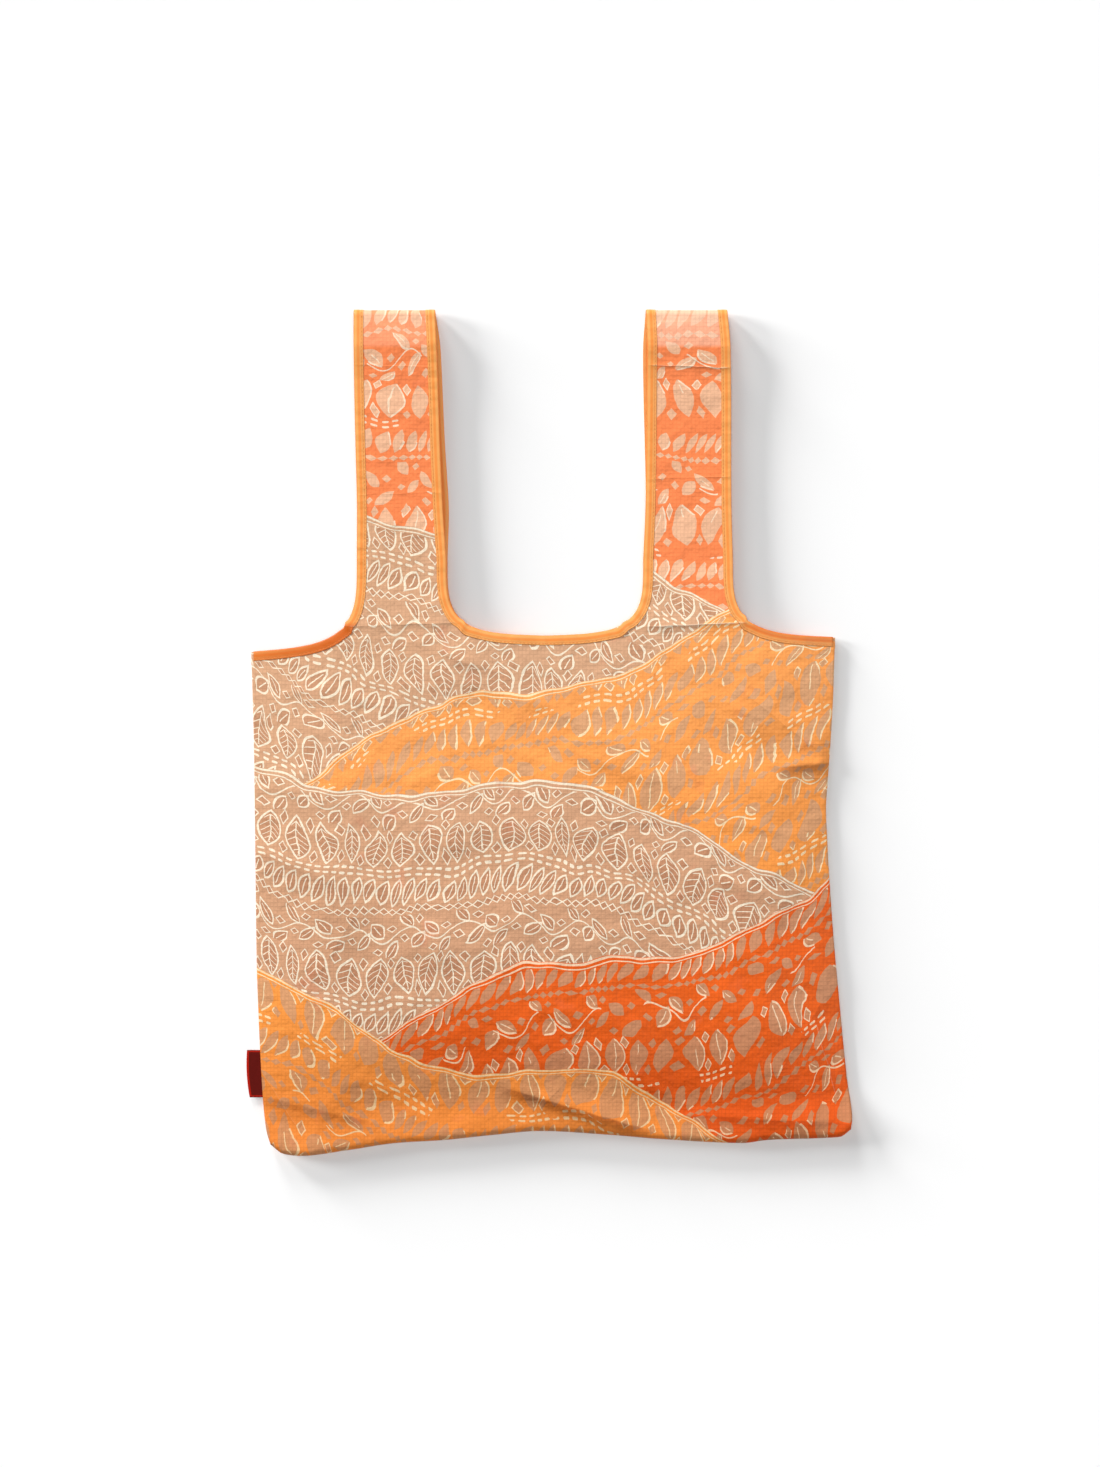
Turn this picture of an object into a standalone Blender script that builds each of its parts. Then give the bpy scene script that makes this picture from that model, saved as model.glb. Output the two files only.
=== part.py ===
"""Reusable shopper of thin ripstop cloth, lying on its back with both handles drawn up.

Lengths are metres. +X runs to the bag's right, +Y from the bottom seam towards the handles, and +Z
up from the surface that the bag lies on. The origin is the middle of the footprint on that surface.
Every surface below is the middle of the cloth, and a Solidify modifier gives it its thickness.
"""

from collections import namedtuple

import bmesh
import bpy
import numpy as np

MM = 0.001

# Driving dimensions: the flat outline
BODY_WIDTH = 480 * MM
BODY_HEIGHT = 416 * MM
HANDLE_HEIGHT = 282 * MM
STRAP_WIDTH = 70 * MM
MOUTH_WIDTH = 162 * MM
MOUTH_OFFSET = 1.5 * MM

# Driving dimensions: cloth, tape and label
CLOTH = 1.0 * MM
TAPE = 0.5 * MM
BINDING_WIDTH = 8.0 * MM
CLEARANCE = 0.3 * MM
LABEL_LENGTH = 39 * MM
LABEL_REACH = 12 * MM
LABEL_TUCK = 6 * MM
LABEL_THICKNESS = 1.0 * MM
LABEL_BOTTOM = 48 * MM
LABEL_BOW = 1.2 * MM

# Driving dimensions: heights above the surface
FLOOR_GAP = 0.05 * MM
FOLD_RADIUS = 4.5 * MM
BOTTOM_RADIUS = 5.0 * MM
SIDE_SLOPE = 80 * MM
BOTTOM_SLOPE = 110 * MM
CORNER_RISE = 38 * MM
BACK_LIFT_START = 90 * MM
BACK_LIFT_END = 34 * MM
CREASE_DROP = 30 * MM
CREASE_HEIGHT = 3.6 * MM
CREASE_REACH = 26 * MM

# Mouth, right shoulder, strap root and strap foot above the left shoulder, and the curves between
MOUTH_RISE = 13 * MM
RIGHT_SHOULDER_RISE = 12 * MM
ROOT_RISE = 29 * MM
FOOT_RISE = 75 * MM
MOUTH_SAG = 2.5 * MM
LEFT_SHOULDER_SAG = 6.6 * MM
RIGHT_SHOULDER_SAG = 3.3 * MM
CORNER_POWER = 3.8

# Mesh density
DENSE_STEPS = 200
SHOULDER_STATIONS = 7
MOUTH_STATIONS = 9
ROOT_COLUMNS = 3
STRAP_ROWS = 8
BODY_ROWS_UNDER_LABEL = 4
BODY_ROWS_ABOVE_LABEL = 9
LABEL_STATIONS = 7

# Lengths that follow from the values above
HALF_WIDTH = BODY_WIDTH / 2
BAG_HEIGHT = BODY_HEIGHT + HANDLE_HEIGHT
MOUTH_HEIGHT = BODY_HEIGHT + MOUTH_RISE
ROOT_HEIGHT = BODY_HEIGHT + ROOT_RISE
FOOT_HEIGHT = BODY_HEIGHT + FOOT_RISE
SLEEVE_HALF = CLOTH / 2 + CLEARANCE
BINDING_HALF = SLEEVE_HALF + TAPE
EDGE_INSET = CLEARANCE + TAPE
BINDING_DEPTH = BINDING_WIDTH - EDGE_INSET
RIM_DEPTH = BINDING_DEPTH + CLEARANCE
SEAM_GAP = CLEARANCE / 2
LABEL_GAP = LABEL_THICKNESS / 2 + CLEARANCE
SIDE_RADIUS = BINDING_HALF + LABEL_THICKNESS / 2 + CLEARANCE
BINDING_END = SIDE_RADIUS + CLOTH + CLEARANCE
LABEL_RAMP = 2 * CLOTH
APEX = BAG_HEIGHT - BINDING_HALF
FLAT_REST = CLOTH / 2
EDGE_REST = BINDING_HALF + FLOOR_GAP
FOLD_MIDDLE = EDGE_REST + FOLD_RADIUS
FOLD_TOP = EDGE_REST + 2 * FOLD_RADIUS

# A quarter turn of cloth as three straight runs round an arc: distance in from the edge, and height
TURN_IN = (0.0, 0.268, 0.732)
TURN_UP = (0.268, 0.732, 1.0)

# Side seams: height is a share of BODY_HEIGHT, reach a share of half the width
Side = namedtuple("Side", "height reach")
LEFT_SIDE = (
    Side(0.022, 0.935),
    Side(0.050, 0.950),
    Side(0.075, 0.957),
    Side(0.115, 0.964),
    Side(0.270, 0.978),
    Side(0.390, 0.985),
    Side(0.630, 0.990),
    Side(0.830, 0.995),
    Side(1.000, 1.003),
)
RIGHT_SIDE = (
    Side(0.052, 1.058),
    Side(0.075, 1.063),
    Side(0.154, 1.046),
    Side(0.312, 1.019),
    Side(0.470, 0.995),
    Side(0.630, 0.978),
    Side(0.689, 0.974),
    Side(0.748, 0.981),
    Side(0.906, 0.998),
    Side(1.029, 1.005),
)

# Bottom edge: across is a share of the way between the bottom corners, height a share of BODY_HEIGHT
Bottom = namedtuple("Bottom", "across height")
BOTTOM_EDGE = (
    Bottom(0.000, 0.0220),
    Bottom(0.022, 0.0038),
    Bottom(0.051, 0.0000),
    Bottom(0.134, 0.0118),
    Bottom(0.216, 0.0257),
    Bottom(0.299, 0.0317),
    Bottom(0.382, 0.0416),
    Bottom(0.464, 0.0495),
    Bottom(0.588, 0.0416),
    Bottom(0.671, 0.0337),
    Bottom(0.815, 0.0257),
    Bottom(0.857, 0.0317),
    Bottom(0.981, 0.0375),
    Bottom(1.000, 0.0520),
)

# Straps: rise is a share of the way from the strap's foot to its fold, the rest are strap widths
Strap = namedtuple("Strap", "rise left_drift right_drift width left_back_shift right_back_shift")
STRAPS = (
    Strap(0.00, -0.027, 0.030, 1.053, 0.011, 0.000),
    Strap(0.24, -0.050, 0.036, 1.006, 0.069, 0.000),
    Strap(0.48, -0.074, 0.039, 0.994, 0.055, -0.020),
    Strap(0.64, -0.087, 0.041, 0.990, 0.049, -0.036),
    Strap(0.84, -0.101, 0.039, 0.978, 0.041, -0.047),
    Strap(1.00, -0.113, 0.013, 0.958, 0.000, 0.000),
)

# Crown of the front: height is a share of BAG_HEIGHT, crown a share of the fold's top
Crown = namedtuple("Crown", "height crown")
CROWNS = (
    Crown(0.00, 1.45),
    Crown(0.20, 1.75),
    Crown(0.40, 1.55),
    Crown(0.55, 1.25),
    Crown(0.61, 1.14),
    Crown(0.70, 0.97),
    Crown(0.80, 0.94),
    Crown(0.90, 0.97),
    Crown(0.96, 1.00),
    Crown(1.00, 1.00),
)

# Soft folds of the front: ends as shares of half the width and BODY_HEIGHT, the rest of FOLD_TOP
Fold = namedtuple("Fold", "start_x start_y end_x end_y half_width rise")
FOLDS = (
    Fold(1.02, 0.76, 0.66, 0.81, 1.9, -0.30),
    Fold(0.98, 0.67, 0.80, 0.60, 1.6, 0.12),
    Fold(0.05, 0.14, 0.42, 0.08, 1.7, -0.30),
    Fold(0.50, 0.09, 0.98, 0.08, 1.5, -0.22),
    Fold(-0.30, 0.30, 0.25, 0.42, 3.2, 0.14),
    Fold(-0.75, 0.20, -0.45, 0.55, 2.6, -0.12),
)

# Colours, roughness, and the distance under which shared border points are one
PANEL_COLORS = {"front_panel": (0.86, 0.34, 0.10), "back_panel": (0.74, 0.28, 0.09)}
BINDING_COLOR = (1.0, 0.33, 0.06)
LABEL_COLOR = (0.55, 0.01, 0.005)
CLOTH_ROUGHNESS = 0.45
TAPE_ROUGHNESS = 0.35
WELD = 0.00001


def clear_scene():
    """Removes every object that the file starts with."""
    for old in list(bpy.data.objects):
        bpy.data.objects.remove(old, do_unlink=True)


def smooth(x):
    """Eases a share from 0 to 1, level at both ends."""
    share = np.clip(x, 0.0, 1.0)
    return share * share * (3 - 2 * share)


def through(xs, ys, x):
    """Smooth curve through the points (xs, ys) that never swings past them."""
    xs, ys, x = np.asarray(xs, float), np.asarray(ys, float), np.asarray(x, float)
    run = np.diff(xs)
    slope = np.diff(ys) / run
    before, after = slope[:-1], slope[1:]
    same_way = before * after > 0
    safe = np.where(same_way, before + after, 1.0)
    inner = np.where(same_way, 2 * before * after / safe, 0.0)
    tangent = np.concatenate([slope[:1], inner, slope[-1:]])
    k = np.clip(np.searchsorted(xs, x) - 1, 0, len(run) - 1)
    u = np.clip((x - xs[k]) / run[k], 0.0, 1.0)
    rise = ys[k] * (1 + 2 * u) * (1 - u) ** 2 + ys[k + 1] * u * u * (3 - 2 * u)
    return rise + run[k] * u * (1 - u) * (tangent[k] * (1 - u) - tangent[k + 1] * u)


def column(table, name):
    """One named column of a table."""
    return [getattr(row, name) for row in table]


def side_x(side, y):
    """Middle of the cloth at a side seam, where side is -1 on the left and 1 on the right."""
    table = LEFT_SIDE if side < 0 else RIGHT_SIDE
    reach = through(column(table, "height"), column(table, "reach"), np.asarray(y) / BODY_HEIGHT)
    return side * (HALF_WIDTH * reach - CLOTH / 2)


def bottom_y(across):
    """Middle of the cloth at the bottom edge, a share of the way between the corners."""
    height = through(column(BOTTOM_EDGE, "across"), column(BOTTOM_EDGE, "height"), across)
    return height * BODY_HEIGHT + CLOTH / 2


def strap_edge(side, outer, y, back):
    """Outline of one edge of a strap, outer or inner, at the height y."""
    rise = (np.asarray(y) - FOOT_HEIGHT) / (APEX - FOOT_HEIGHT)
    rows = column(STRAPS, "rise")
    drift = column(STRAPS, "left_drift" if side < 0 else "right_drift")
    shift = column(STRAPS, "left_back_shift" if side < 0 else "right_back_shift")
    middle = MOUTH_OFFSET + side * (MOUTH_WIDTH + STRAP_WIDTH) / 2
    middle = middle + STRAP_WIDTH * through(rows, drift, rise)
    if back:
        middle = middle + STRAP_WIDTH * through(rows, shift, rise)
    half = STRAP_WIDTH / 2 * through(rows, column(STRAPS, "width"), rise)
    return middle + side * half * (1 if outer else -1)


def edge_line(side, outer, back):
    """Dense outline from the side seam, or from the mouth's middle, up to the strap's fold."""
    if outer:
        low_y = BODY_HEIGHT + (0 if side < 0 else RIGHT_SHOULDER_RISE)
        low_x = side_x(side, low_y)
        sag = LEFT_SHOULDER_SAG if side < 0 else RIGHT_SHOULDER_SAG
    else:
        low_x, low_y, sag = MOUTH_OFFSET, MOUTH_HEIGHT, MOUTH_SAG
    turn = np.linspace(0, np.pi / 2, DENSE_STEPS)
    along = np.sin(turn) ** (2 / CORNER_POWER)
    up = 1 - np.clip(np.cos(turn), 0, 1) ** (2 / CORNER_POWER)
    foot_x = strap_edge(side, outer, FOOT_HEIGHT, back)
    x = low_x + (foot_x - low_x) * along
    y = low_y + sag * along + (FOOT_HEIGHT - low_y - sag) * up
    strap_y = np.linspace(FOOT_HEIGHT, APEX, DENSE_STEPS)[1:]
    strap_x = strap_edge(side, outer, strap_y, back)
    return np.column_stack([np.append(x, strap_x), np.append(y, strap_y)])


def fold_rise(x, y):
    """Sum of the soft folds at the points (x, y) of the front."""
    total = np.zeros_like(x)
    for fold in FOLDS:
        start = np.array([fold.start_x * HALF_WIDTH, fold.start_y * BODY_HEIGHT])
        end = np.array([fold.end_x * HALF_WIDTH, fold.end_y * BODY_HEIGHT])
        way = end - start
        share = np.clip(((x - start[0]) * way[0] + (y - start[1]) * way[1]) / way.dot(way), 0, 1)
        away = np.hypot(x - start[0] - share * way[0], y - start[1] - share * way[1])
        total += fold.rise * FOLD_TOP * np.exp(-((away / (fold.half_width * FOLD_TOP)) ** 2))
    return total


def rest_height(y):
    """Back of the bag: flat on the surface, and lifted towards the bound edges."""
    start, end = MOUTH_HEIGHT - BACK_LIFT_START, MOUTH_HEIGHT - BACK_LIFT_END
    return FLAT_REST + (EDGE_REST - FLAT_REST) * smooth((np.asarray(y) - start) / (end - start))


def seam_radius(above_bottom):
    """Radius of the turned cloth at the seams, which grows towards the bottom."""
    return SIDE_RADIUS + (BOTTOM_RADIUS - SIDE_RADIUS) * smooth(1 - above_bottom / CORNER_RISE)


def crown_height(y):
    """Height of the front along the bag's length, with the pressed crease near the fold."""
    crown = FOLD_TOP * through(column(CROWNS, "height"), column(CROWNS, "crown"), y / BAG_HEIGHT)
    crease = 1 - np.abs(y - (APEX - CREASE_DROP)) / CREASE_REACH
    return crown + CREASE_HEIGHT * np.clip(crease, 0, 1)


def slope_share(distance, reach):
    """Share of the full height at a distance from a seam."""
    return np.sin(np.clip(distance / reach, 0, 1) * np.pi / 2)


def surface(xy, back, turned=1.0, gap=SEAM_GAP):
    """Puts flat points on the front or the back, where turned is 1 away from a seam."""
    x, y = xy[..., 0], xy[..., 1]
    left, right = side_x(-1, y), side_x(1, y)
    above = y - bottom_y((x - left) / (right - left))
    rest = rest_height(y)
    radius = seam_radius(above)
    height = gap + (radius - gap) * turned
    if back:
        z = rest + radius - height
    else:
        share = slope_share(x - left, SIDE_SLOPE) * slope_share(right - x, SIDE_SLOPE)
        share = share * slope_share(above, BOTTOM_SLOPE)
        full = crown_height(y) - rest - 2 * radius + fold_rise(x, y)
        z = rest + radius + height + full * share
    return np.concatenate([xy, z[..., None]], axis=-1)


class Edge:
    """One bound edge, from its low end at a side seam or the mouth's middle up to the strap's fold."""

    def __init__(self, side, outer, back):
        """Measures the outline. side is -1 or 1, and outer picks the strap's outer edge."""
        self.side, self.outer, self.back = side, outer, back
        self.line = edge_line(side, outer, back)
        self.length = np.append(0.0, np.cumsum(np.hypot(*np.diff(self.line, axis=0).T)))
        tangent = np.gradient(self.line, self.length, axis=0)
        turn = side if outer else -side
        self.inward = turn * np.column_stack([-tangent[:, 1], tangent[:, 0]])
        root = np.interp(ROOT_HEIGHT, self.line[:, 1], self.length)
        if outer:
            turned = SIDE_RADIUS * np.array(TURN_IN)
            self.low = np.append(turned, np.linspace(BINDING_END, root, SHOULDER_STATIONS))
        else:
            self.low = np.linspace(0, root, MOUTH_STATIONS)

    def at_length(self, lengths):
        """Flat edge points and inset points, stacked, at the given lengths along the outline."""
        outline = np.column_stack([np.interp(lengths, self.length, line) for line in self.line.T])
        inward = np.column_stack([np.interp(lengths, self.length, way) for way in self.inward.T])
        start = BINDING_END if self.outer else 0.0
        near = 1 - smooth((np.asarray(lengths) - start) / (STRAP_WIDTH / 2))[:, None]
        inward = inward * (1 - near) + np.array([0.0, -1.0]) * near
        level = smooth((outline[:, 1:] - APEX + CREASE_DROP) / (CREASE_DROP / 2))
        across = np.array([self.side * (-1.0 if self.outer else 1.0), 0.0])
        inward = inward * (1 - level) + across * level
        inward /= np.linalg.norm(inward, axis=1)[:, None]
        return np.stack([outline + EDGE_INSET * inward, outline + (EDGE_INSET + RIM_DEPTH) * inward])

    def low_points(self):
        """Flat points of the stations below the strap's root."""
        return self.at_length(self.low)

    def strap_points(self):
        """Flat points of the strap's rows, from the root to the end of its half of the fold."""
        crease = APEX - CREASE_DROP
        below = ROOT_HEIGHT + (crease - ROOT_HEIGHT) * np.linspace(0, 1, STRAP_ROWS)
        fold = APEX - FOLD_RADIUS * np.array(TURN_IN[::-1])
        heights = np.concatenate([below, [(crease + fold[0]) / 2], fold])
        return self.at_length(np.interp(heights, self.line[:, 1], self.length))


def lift_strap(rows, back):
    """Gives a strap's flat rows their heights. The last two rows turn over the fold."""
    points = surface(rows, back)
    turn = np.array(TURN_UP[1::-1]) * FOLD_RADIUS * (-1 if back else 1)
    points[-2:, :, 2] = (FOLD_MIDDLE + turn)[:, None]
    return points


def blend(start, end, shares):
    """Points between two sets of points, with the shares as a new axis."""
    shares = np.asarray(shares)[:, None]
    return start[..., None, :] * (1 - shares) + end[..., None, :] * shares


def body_levels():
    """Heights of the body's rows at the left seam, and which of them the label passes."""
    low = bottom_y(0.0)
    top = BODY_HEIGHT - EDGE_INSET - RIM_DEPTH
    label_low, label_top = LABEL_BOTTOM - CLEARANCE, LABEL_BOTTOM + LABEL_LENGTH + CLEARANCE
    turned = low + BOTTOM_RADIUS * np.array(TURN_IN)
    under = np.linspace(turned[-1], label_low - LABEL_RAMP, BODY_ROWS_UNDER_LABEL)[1:]
    over = np.linspace(label_top + LABEL_RAMP, top, BODY_ROWS_ABOVE_LABEL)
    levels = np.concatenate([turned, under, [label_low, label_top], over])
    beside = (levels >= label_low) & (levels <= label_top)
    return levels, beside


def body_grid(top):
    """Flat grid of the body between its bottom edge, side seams and the given top row."""
    levels, beside = body_levels()
    t = (levels - levels[0]) / (levels[-1] - levels[0])
    s = (top[:, 0] - top[0, 0]) / (top[-1, 0] - top[0, 0])
    corner = RIGHT_SIDE[0].height * BODY_HEIGHT + CLOTH / 2
    right_y = corner + (top[-1, 1] - corner) * t
    left = np.column_stack([side_x(-1, levels), levels])
    right = np.column_stack([side_x(1, right_y), right_y])
    left[-1], right[-1] = top[0], top[-1]
    bottom = np.column_stack([left[0, 0] + (right[0, 0] - left[0, 0]) * s, bottom_y(s)])
    bottom[0], bottom[-1] = left[0], right[0]
    s, t = s[None, :, None], t[:, None, None]
    corners = (1 - s) * (1 - t) * left[0] + s * (1 - t) * right[0] + (1 - s) * t * top[0] + s * t * top[-1]
    grid = (1 - t) * bottom[None] + t * top[None] + (1 - s) * left[:, None] + s * right[:, None] - corners
    return grid, beside


class Panel:
    """The middle surface of the front or back panel, with the edges that its bindings follow."""

    def __init__(self, back):
        """Makes the four bound edges of the front or the back."""
        self.back = back
        self.edges = {(side, outer): Edge(side, outer, back) for side in (-1, 1) for outer in (True, False)}

    def edge_run(self, side, outer):
        """Edge and inset points in space, from the first bound station up to the fold's last row."""
        edge = self.edges[side, outer]
        first = len(TURN_IN) if outer else 0
        low = surface(edge.low_points()[:, first:], self.back)
        strap = lift_strap(edge.strap_points().swapaxes(0, 1), self.back).swapaxes(0, 1)
        return np.concatenate([low[:, :-1], strap], axis=1)

    def patches(self):
        """Grids of points that share their borders: body, rims, straps and turned seams."""
        rims = {key: edge.low_points() for key, edge in self.edges.items()}
        left, right = rims[-1, True], rims[1, True][:, ::-1]
        mouth = np.concatenate([rims[-1, False][:, :0:-1], rims[1, False]], axis=1)
        shares = np.linspace(0, 1, ROOT_COLUMNS + 1)[1:-1]
        left_root = blend(left[1, -1], mouth[1, 0], shares)
        right_root = blend(mouth[1, -1], right[1, 0], shares)
        top = np.concatenate([left[1], left_root, mouth[1], right_root, right[1]])
        grid, beside = body_grid(top)

        rows, columns = grid.shape[:2]
        turned = np.minimum(self.turned_columns(columns), self.turned_rows(rows))
        gap = np.full((rows, columns), SEAM_GAP)
        gap[beside, : len(TURN_IN)] = LABEL_GAP
        made = [surface(grid, self.back, turned, gap)]
        side_turn = np.append(TURN_UP, np.ones(SHOULDER_STATIONS))
        made.append(surface(left[::-1], self.back, side_turn))
        made.append(surface(mouth[::-1], self.back))
        made.append(surface(right[::-1], self.back, side_turn[::-1]))
        made += [self.strap_patch(side) for side in (-1, 1)]

        border = np.concatenate([left[:1, 0], grid[:0:-1, 0], grid[0], grid[1:, -1], right[:1, -1]])
        around = np.concatenate([[SEAM_GAP], gap[:0:-1, 0], gap[0], gap[1:, -1], [SEAM_GAP]])
        upper = surface(border, self.back, TURN_UP[0], around)
        lower = surface(border, self.back, 0.0, around)
        made.append(np.stack([lower, upper]))
        return made

    @staticmethod
    def turned_columns(count):
        """Share of the seam's turn that each of the body's columns has reached."""
        turned = np.ones((1, count))
        turned[0, : len(TURN_UP)] = TURN_UP
        turned[0, -len(TURN_UP) :] = TURN_UP[::-1]
        return turned

    @staticmethod
    def turned_rows(count):
        """Share of the bottom's turn that each of the body's rows has reached."""
        turned = np.ones((count, 1))
        turned[: len(TURN_UP), 0] = TURN_UP
        return turned

    def strap_patch(self, side):
        """Grid of one strap, edge to edge, from its root to the middle of its fold."""
        outer = self.edges[side, True].strap_points()
        inner = self.edges[side, False].strap_points()
        between = blend(outer[1], inner[1], np.linspace(0, 1, ROOT_COLUMNS + 1))
        rows = np.concatenate([outer[0][:, None], between, inner[0][:, None]], axis=1)
        points = lift_strap(rows if side < 0 else rows[:, ::-1], self.back)
        last = points[-1:].copy()
        last[..., 2] = FOLD_MIDDLE + (-SEAM_GAP if self.back else SEAM_GAP)
        return np.concatenate([points, last])


def new_object(name, collection, points, faces, color, roughness):
    """Makes one named object of the given points and faces, with its own material."""
    mesh = bpy.data.meshes.new(name)
    mesh.from_pydata([tuple(point) for point in points], [], faces)
    material = bpy.data.materials.new(name)
    material.use_nodes = True
    shader = material.node_tree.nodes["Principled BSDF"]
    shader.inputs["Base Color"].default_value = (*color, 1.0)
    shader.inputs["Roughness"].default_value = roughness
    shader.inputs["Metallic"].default_value = 0.0
    mesh.materials.append(material)
    made = bpy.data.objects.new(name, mesh)
    collection.objects.link(made)
    return made


def grid_faces(rows, columns, first=0):
    """Quads of a grid of points numbered row by row from first."""
    at = first + np.arange(rows * columns).reshape(rows, columns)
    quads = np.stack([at[:-1, :-1], at[:-1, 1:], at[1:, 1:], at[1:, :-1]], axis=-1)
    return quads.reshape(-1, 4).tolist()


def cloth_object(name, collection, grids, thickness, color):
    """Joins grids of points into one open surface and gives it the cloth's thickness."""
    points, faces = [], []
    for grid in grids:
        faces += grid_faces(grid.shape[0], grid.shape[1], len(points))
        points += grid.reshape(-1, 3).tolist()
    made = new_object(name, collection, points, faces, color, CLOTH_ROUGHNESS)
    work = bmesh.new()
    work.from_mesh(made.data)
    bmesh.ops.remove_doubles(work, verts=work.verts, dist=WELD)
    work.to_mesh(made.data)
    work.free()
    wall = made.modifiers.new("wall", "SOLIDIFY")
    wall.thickness = thickness
    wall.offset = 0.0
    wall.use_even_offset = True
    return made


def unit(vectors):
    """Vectors scaled to length one."""
    return vectors / np.linalg.norm(vectors, axis=-1, keepdims=True)


def binding_object(name, collection, run, closed):
    """Folds the tape round an edge, as a U section carried along its edge and inset points."""
    edge, inset = run
    inward = unit(inset - edge)
    onward = unit(np.roll(edge, -1, axis=0) - edge)
    arrived = np.roll(onward, 1, axis=0)
    if not closed:
        onward[-1], arrived[0] = arrived[-1], onward[0]
    flat = [unit(way - (way * inward).sum(1, keepdims=True) * inward) for way in (arrived, onward)]
    normal = unit(np.cross(inward, flat[0] + flat[1]))
    normal *= np.sign(normal[0, 2])
    mitre = np.sqrt(2 / (1 + (flat[0] * flat[1]).sum(1)))[:, None]
    outline = [(-EDGE_INSET, BINDING_HALF), (BINDING_DEPTH, BINDING_HALF)]
    section = outline + [(BINDING_DEPTH, SLEEVE_HALF), (-CLEARANCE, SLEEVE_HALF)]
    section += [(along, -up) for along, up in reversed(section)]
    rings = np.stack([edge + along * inward + up * mitre * normal for along, up in section], axis=1)
    count, sides = rings.shape[:2]
    wrapped = np.concatenate([rings, rings[:1]]) if closed else rings
    at = np.arange(len(wrapped) * sides).reshape(len(wrapped), sides) % (count * sides)
    at = np.concatenate([at, at[:, :1]], axis=1)
    quads = np.stack([at[:-1, :-1], at[:-1, 1:], at[1:, 1:], at[1:, :-1]], axis=-1).reshape(-1, 4).tolist()
    if not closed:
        quads += [list(range(sides)), list(range((count - 1) * sides, count * sides))]
    made = new_object(name, collection, rings.reshape(-1, 3).tolist(), quads, BINDING_COLOR, TAPE_ROUGHNESS)
    work = bmesh.new()
    work.from_mesh(made.data)
    bmesh.ops.recalc_face_normals(work, faces=work.faces)
    work.to_mesh(made.data)
    work.free()
    return made


def label_grid():
    """Middle surface of the side label, from its tuck inside the seam to its bowed fold."""
    share = np.linspace(0, 1, LABEL_STATIONS)
    y = LABEL_BOTTOM + LABEL_LENGTH * share
    bow = LABEL_BOW * (1 - (2 * share - 1) ** 2)
    inner = np.column_stack([side_x(-1, y) + LABEL_TUCK, y])
    outer = np.column_stack([side_x(-1, y) - CLOTH / 2 - LABEL_REACH + LABEL_BOW - bow, y])
    flat = np.stack([outer, inner], axis=1)
    z = np.full(flat.shape[:2] + (1,), FLAT_REST + SIDE_RADIUS)
    return np.concatenate([flat, z], axis=-1)


def centre_on_floor(objects):
    """Moves the meshes so that the middle of the footprint is the origin."""
    graph = bpy.context.evaluated_depsgraph_get()
    corners = np.array([corner for made in objects for corner in made.evaluated_get(graph).bound_box])
    middle = (corners.min(axis=0) + corners.max(axis=0)) / 2
    for made in objects:
        for vertex in made.data.vertices:
            vertex.co.x -= middle[0]
            vertex.co.y -= middle[1]
        made.data.update()


def main():
    """Builds the bag."""
    clear_scene()
    collection = bpy.data.collections.new("reusable_bag")
    bpy.context.scene.collection.children.link(collection)
    front, back = Panel(back=False), Panel(back=True)
    made = [
        cloth_object("front_panel", collection, front.patches(), CLOTH, PANEL_COLORS["front_panel"]),
        cloth_object("back_panel", collection, back.patches(), CLOTH, PANEL_COLORS["back_panel"]),
        cloth_object("side_label", collection, [label_grid()], LABEL_THICKNESS, LABEL_COLOR),
    ]
    for name, side in (("shoulder_binding_left", -1), ("shoulder_binding_right", 1)):
        run = np.concatenate([front.edge_run(side, True), back.edge_run(side, True)[:, ::-1]], axis=1)
        made.append(binding_object(name, collection, run, closed=False))
    ends = [panel.edge_run(side, False) for panel in (front, back) for side in (-1, 1)]
    loop = [ends[0][:, ::-1], ends[1][:, 1:], ends[3][:, ::-1], ends[2][:, 1:]]
    made.append(binding_object("mouth_binding", collection, np.concatenate(loop, axis=1), closed=True))
    bpy.context.view_layer.update()
    centre_on_floor(made)


main()
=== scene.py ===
"""Looks of a reusable shopper of thin printed ripstop that lies flat with both handles drawn up.

Lengths are metres in the frame's own axes: +X to the bag's right, +Y from the bottom seam towards the
handles, and +Z up from the surface that the bag lies on. The outline is worked out in the cutting
pattern's coordinates, where y is 0 at the bottom seam and x is 0 in the middle, and is then moved onto
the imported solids. The same two pattern coordinates, in metres, are the UV map of the cloth, so that
the print follows it. Materials work in millimetres of the pattern, and the scale of a noise there is
its number of swings in a millimetre.
"""

import logging
import math
from collections.abc import Mapping, Sequence
from dataclasses import dataclass, field
from enum import Enum
from typing import NamedTuple

import bmesh
import bpy
import numpy as np
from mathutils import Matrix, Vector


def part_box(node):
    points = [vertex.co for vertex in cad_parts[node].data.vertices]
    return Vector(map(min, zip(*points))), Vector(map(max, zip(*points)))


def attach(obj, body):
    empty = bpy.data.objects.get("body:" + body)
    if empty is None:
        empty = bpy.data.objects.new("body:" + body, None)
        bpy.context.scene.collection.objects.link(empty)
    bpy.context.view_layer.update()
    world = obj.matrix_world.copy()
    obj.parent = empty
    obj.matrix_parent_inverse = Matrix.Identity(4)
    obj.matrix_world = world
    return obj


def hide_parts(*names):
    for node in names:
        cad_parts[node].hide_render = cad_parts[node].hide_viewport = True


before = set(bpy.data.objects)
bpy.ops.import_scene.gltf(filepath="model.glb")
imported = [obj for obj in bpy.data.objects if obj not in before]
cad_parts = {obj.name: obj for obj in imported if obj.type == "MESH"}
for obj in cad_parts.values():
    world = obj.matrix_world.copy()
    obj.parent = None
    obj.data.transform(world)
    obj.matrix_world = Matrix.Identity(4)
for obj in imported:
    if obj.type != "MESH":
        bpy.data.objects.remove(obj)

log = logging.getLogger("shopper")

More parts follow.
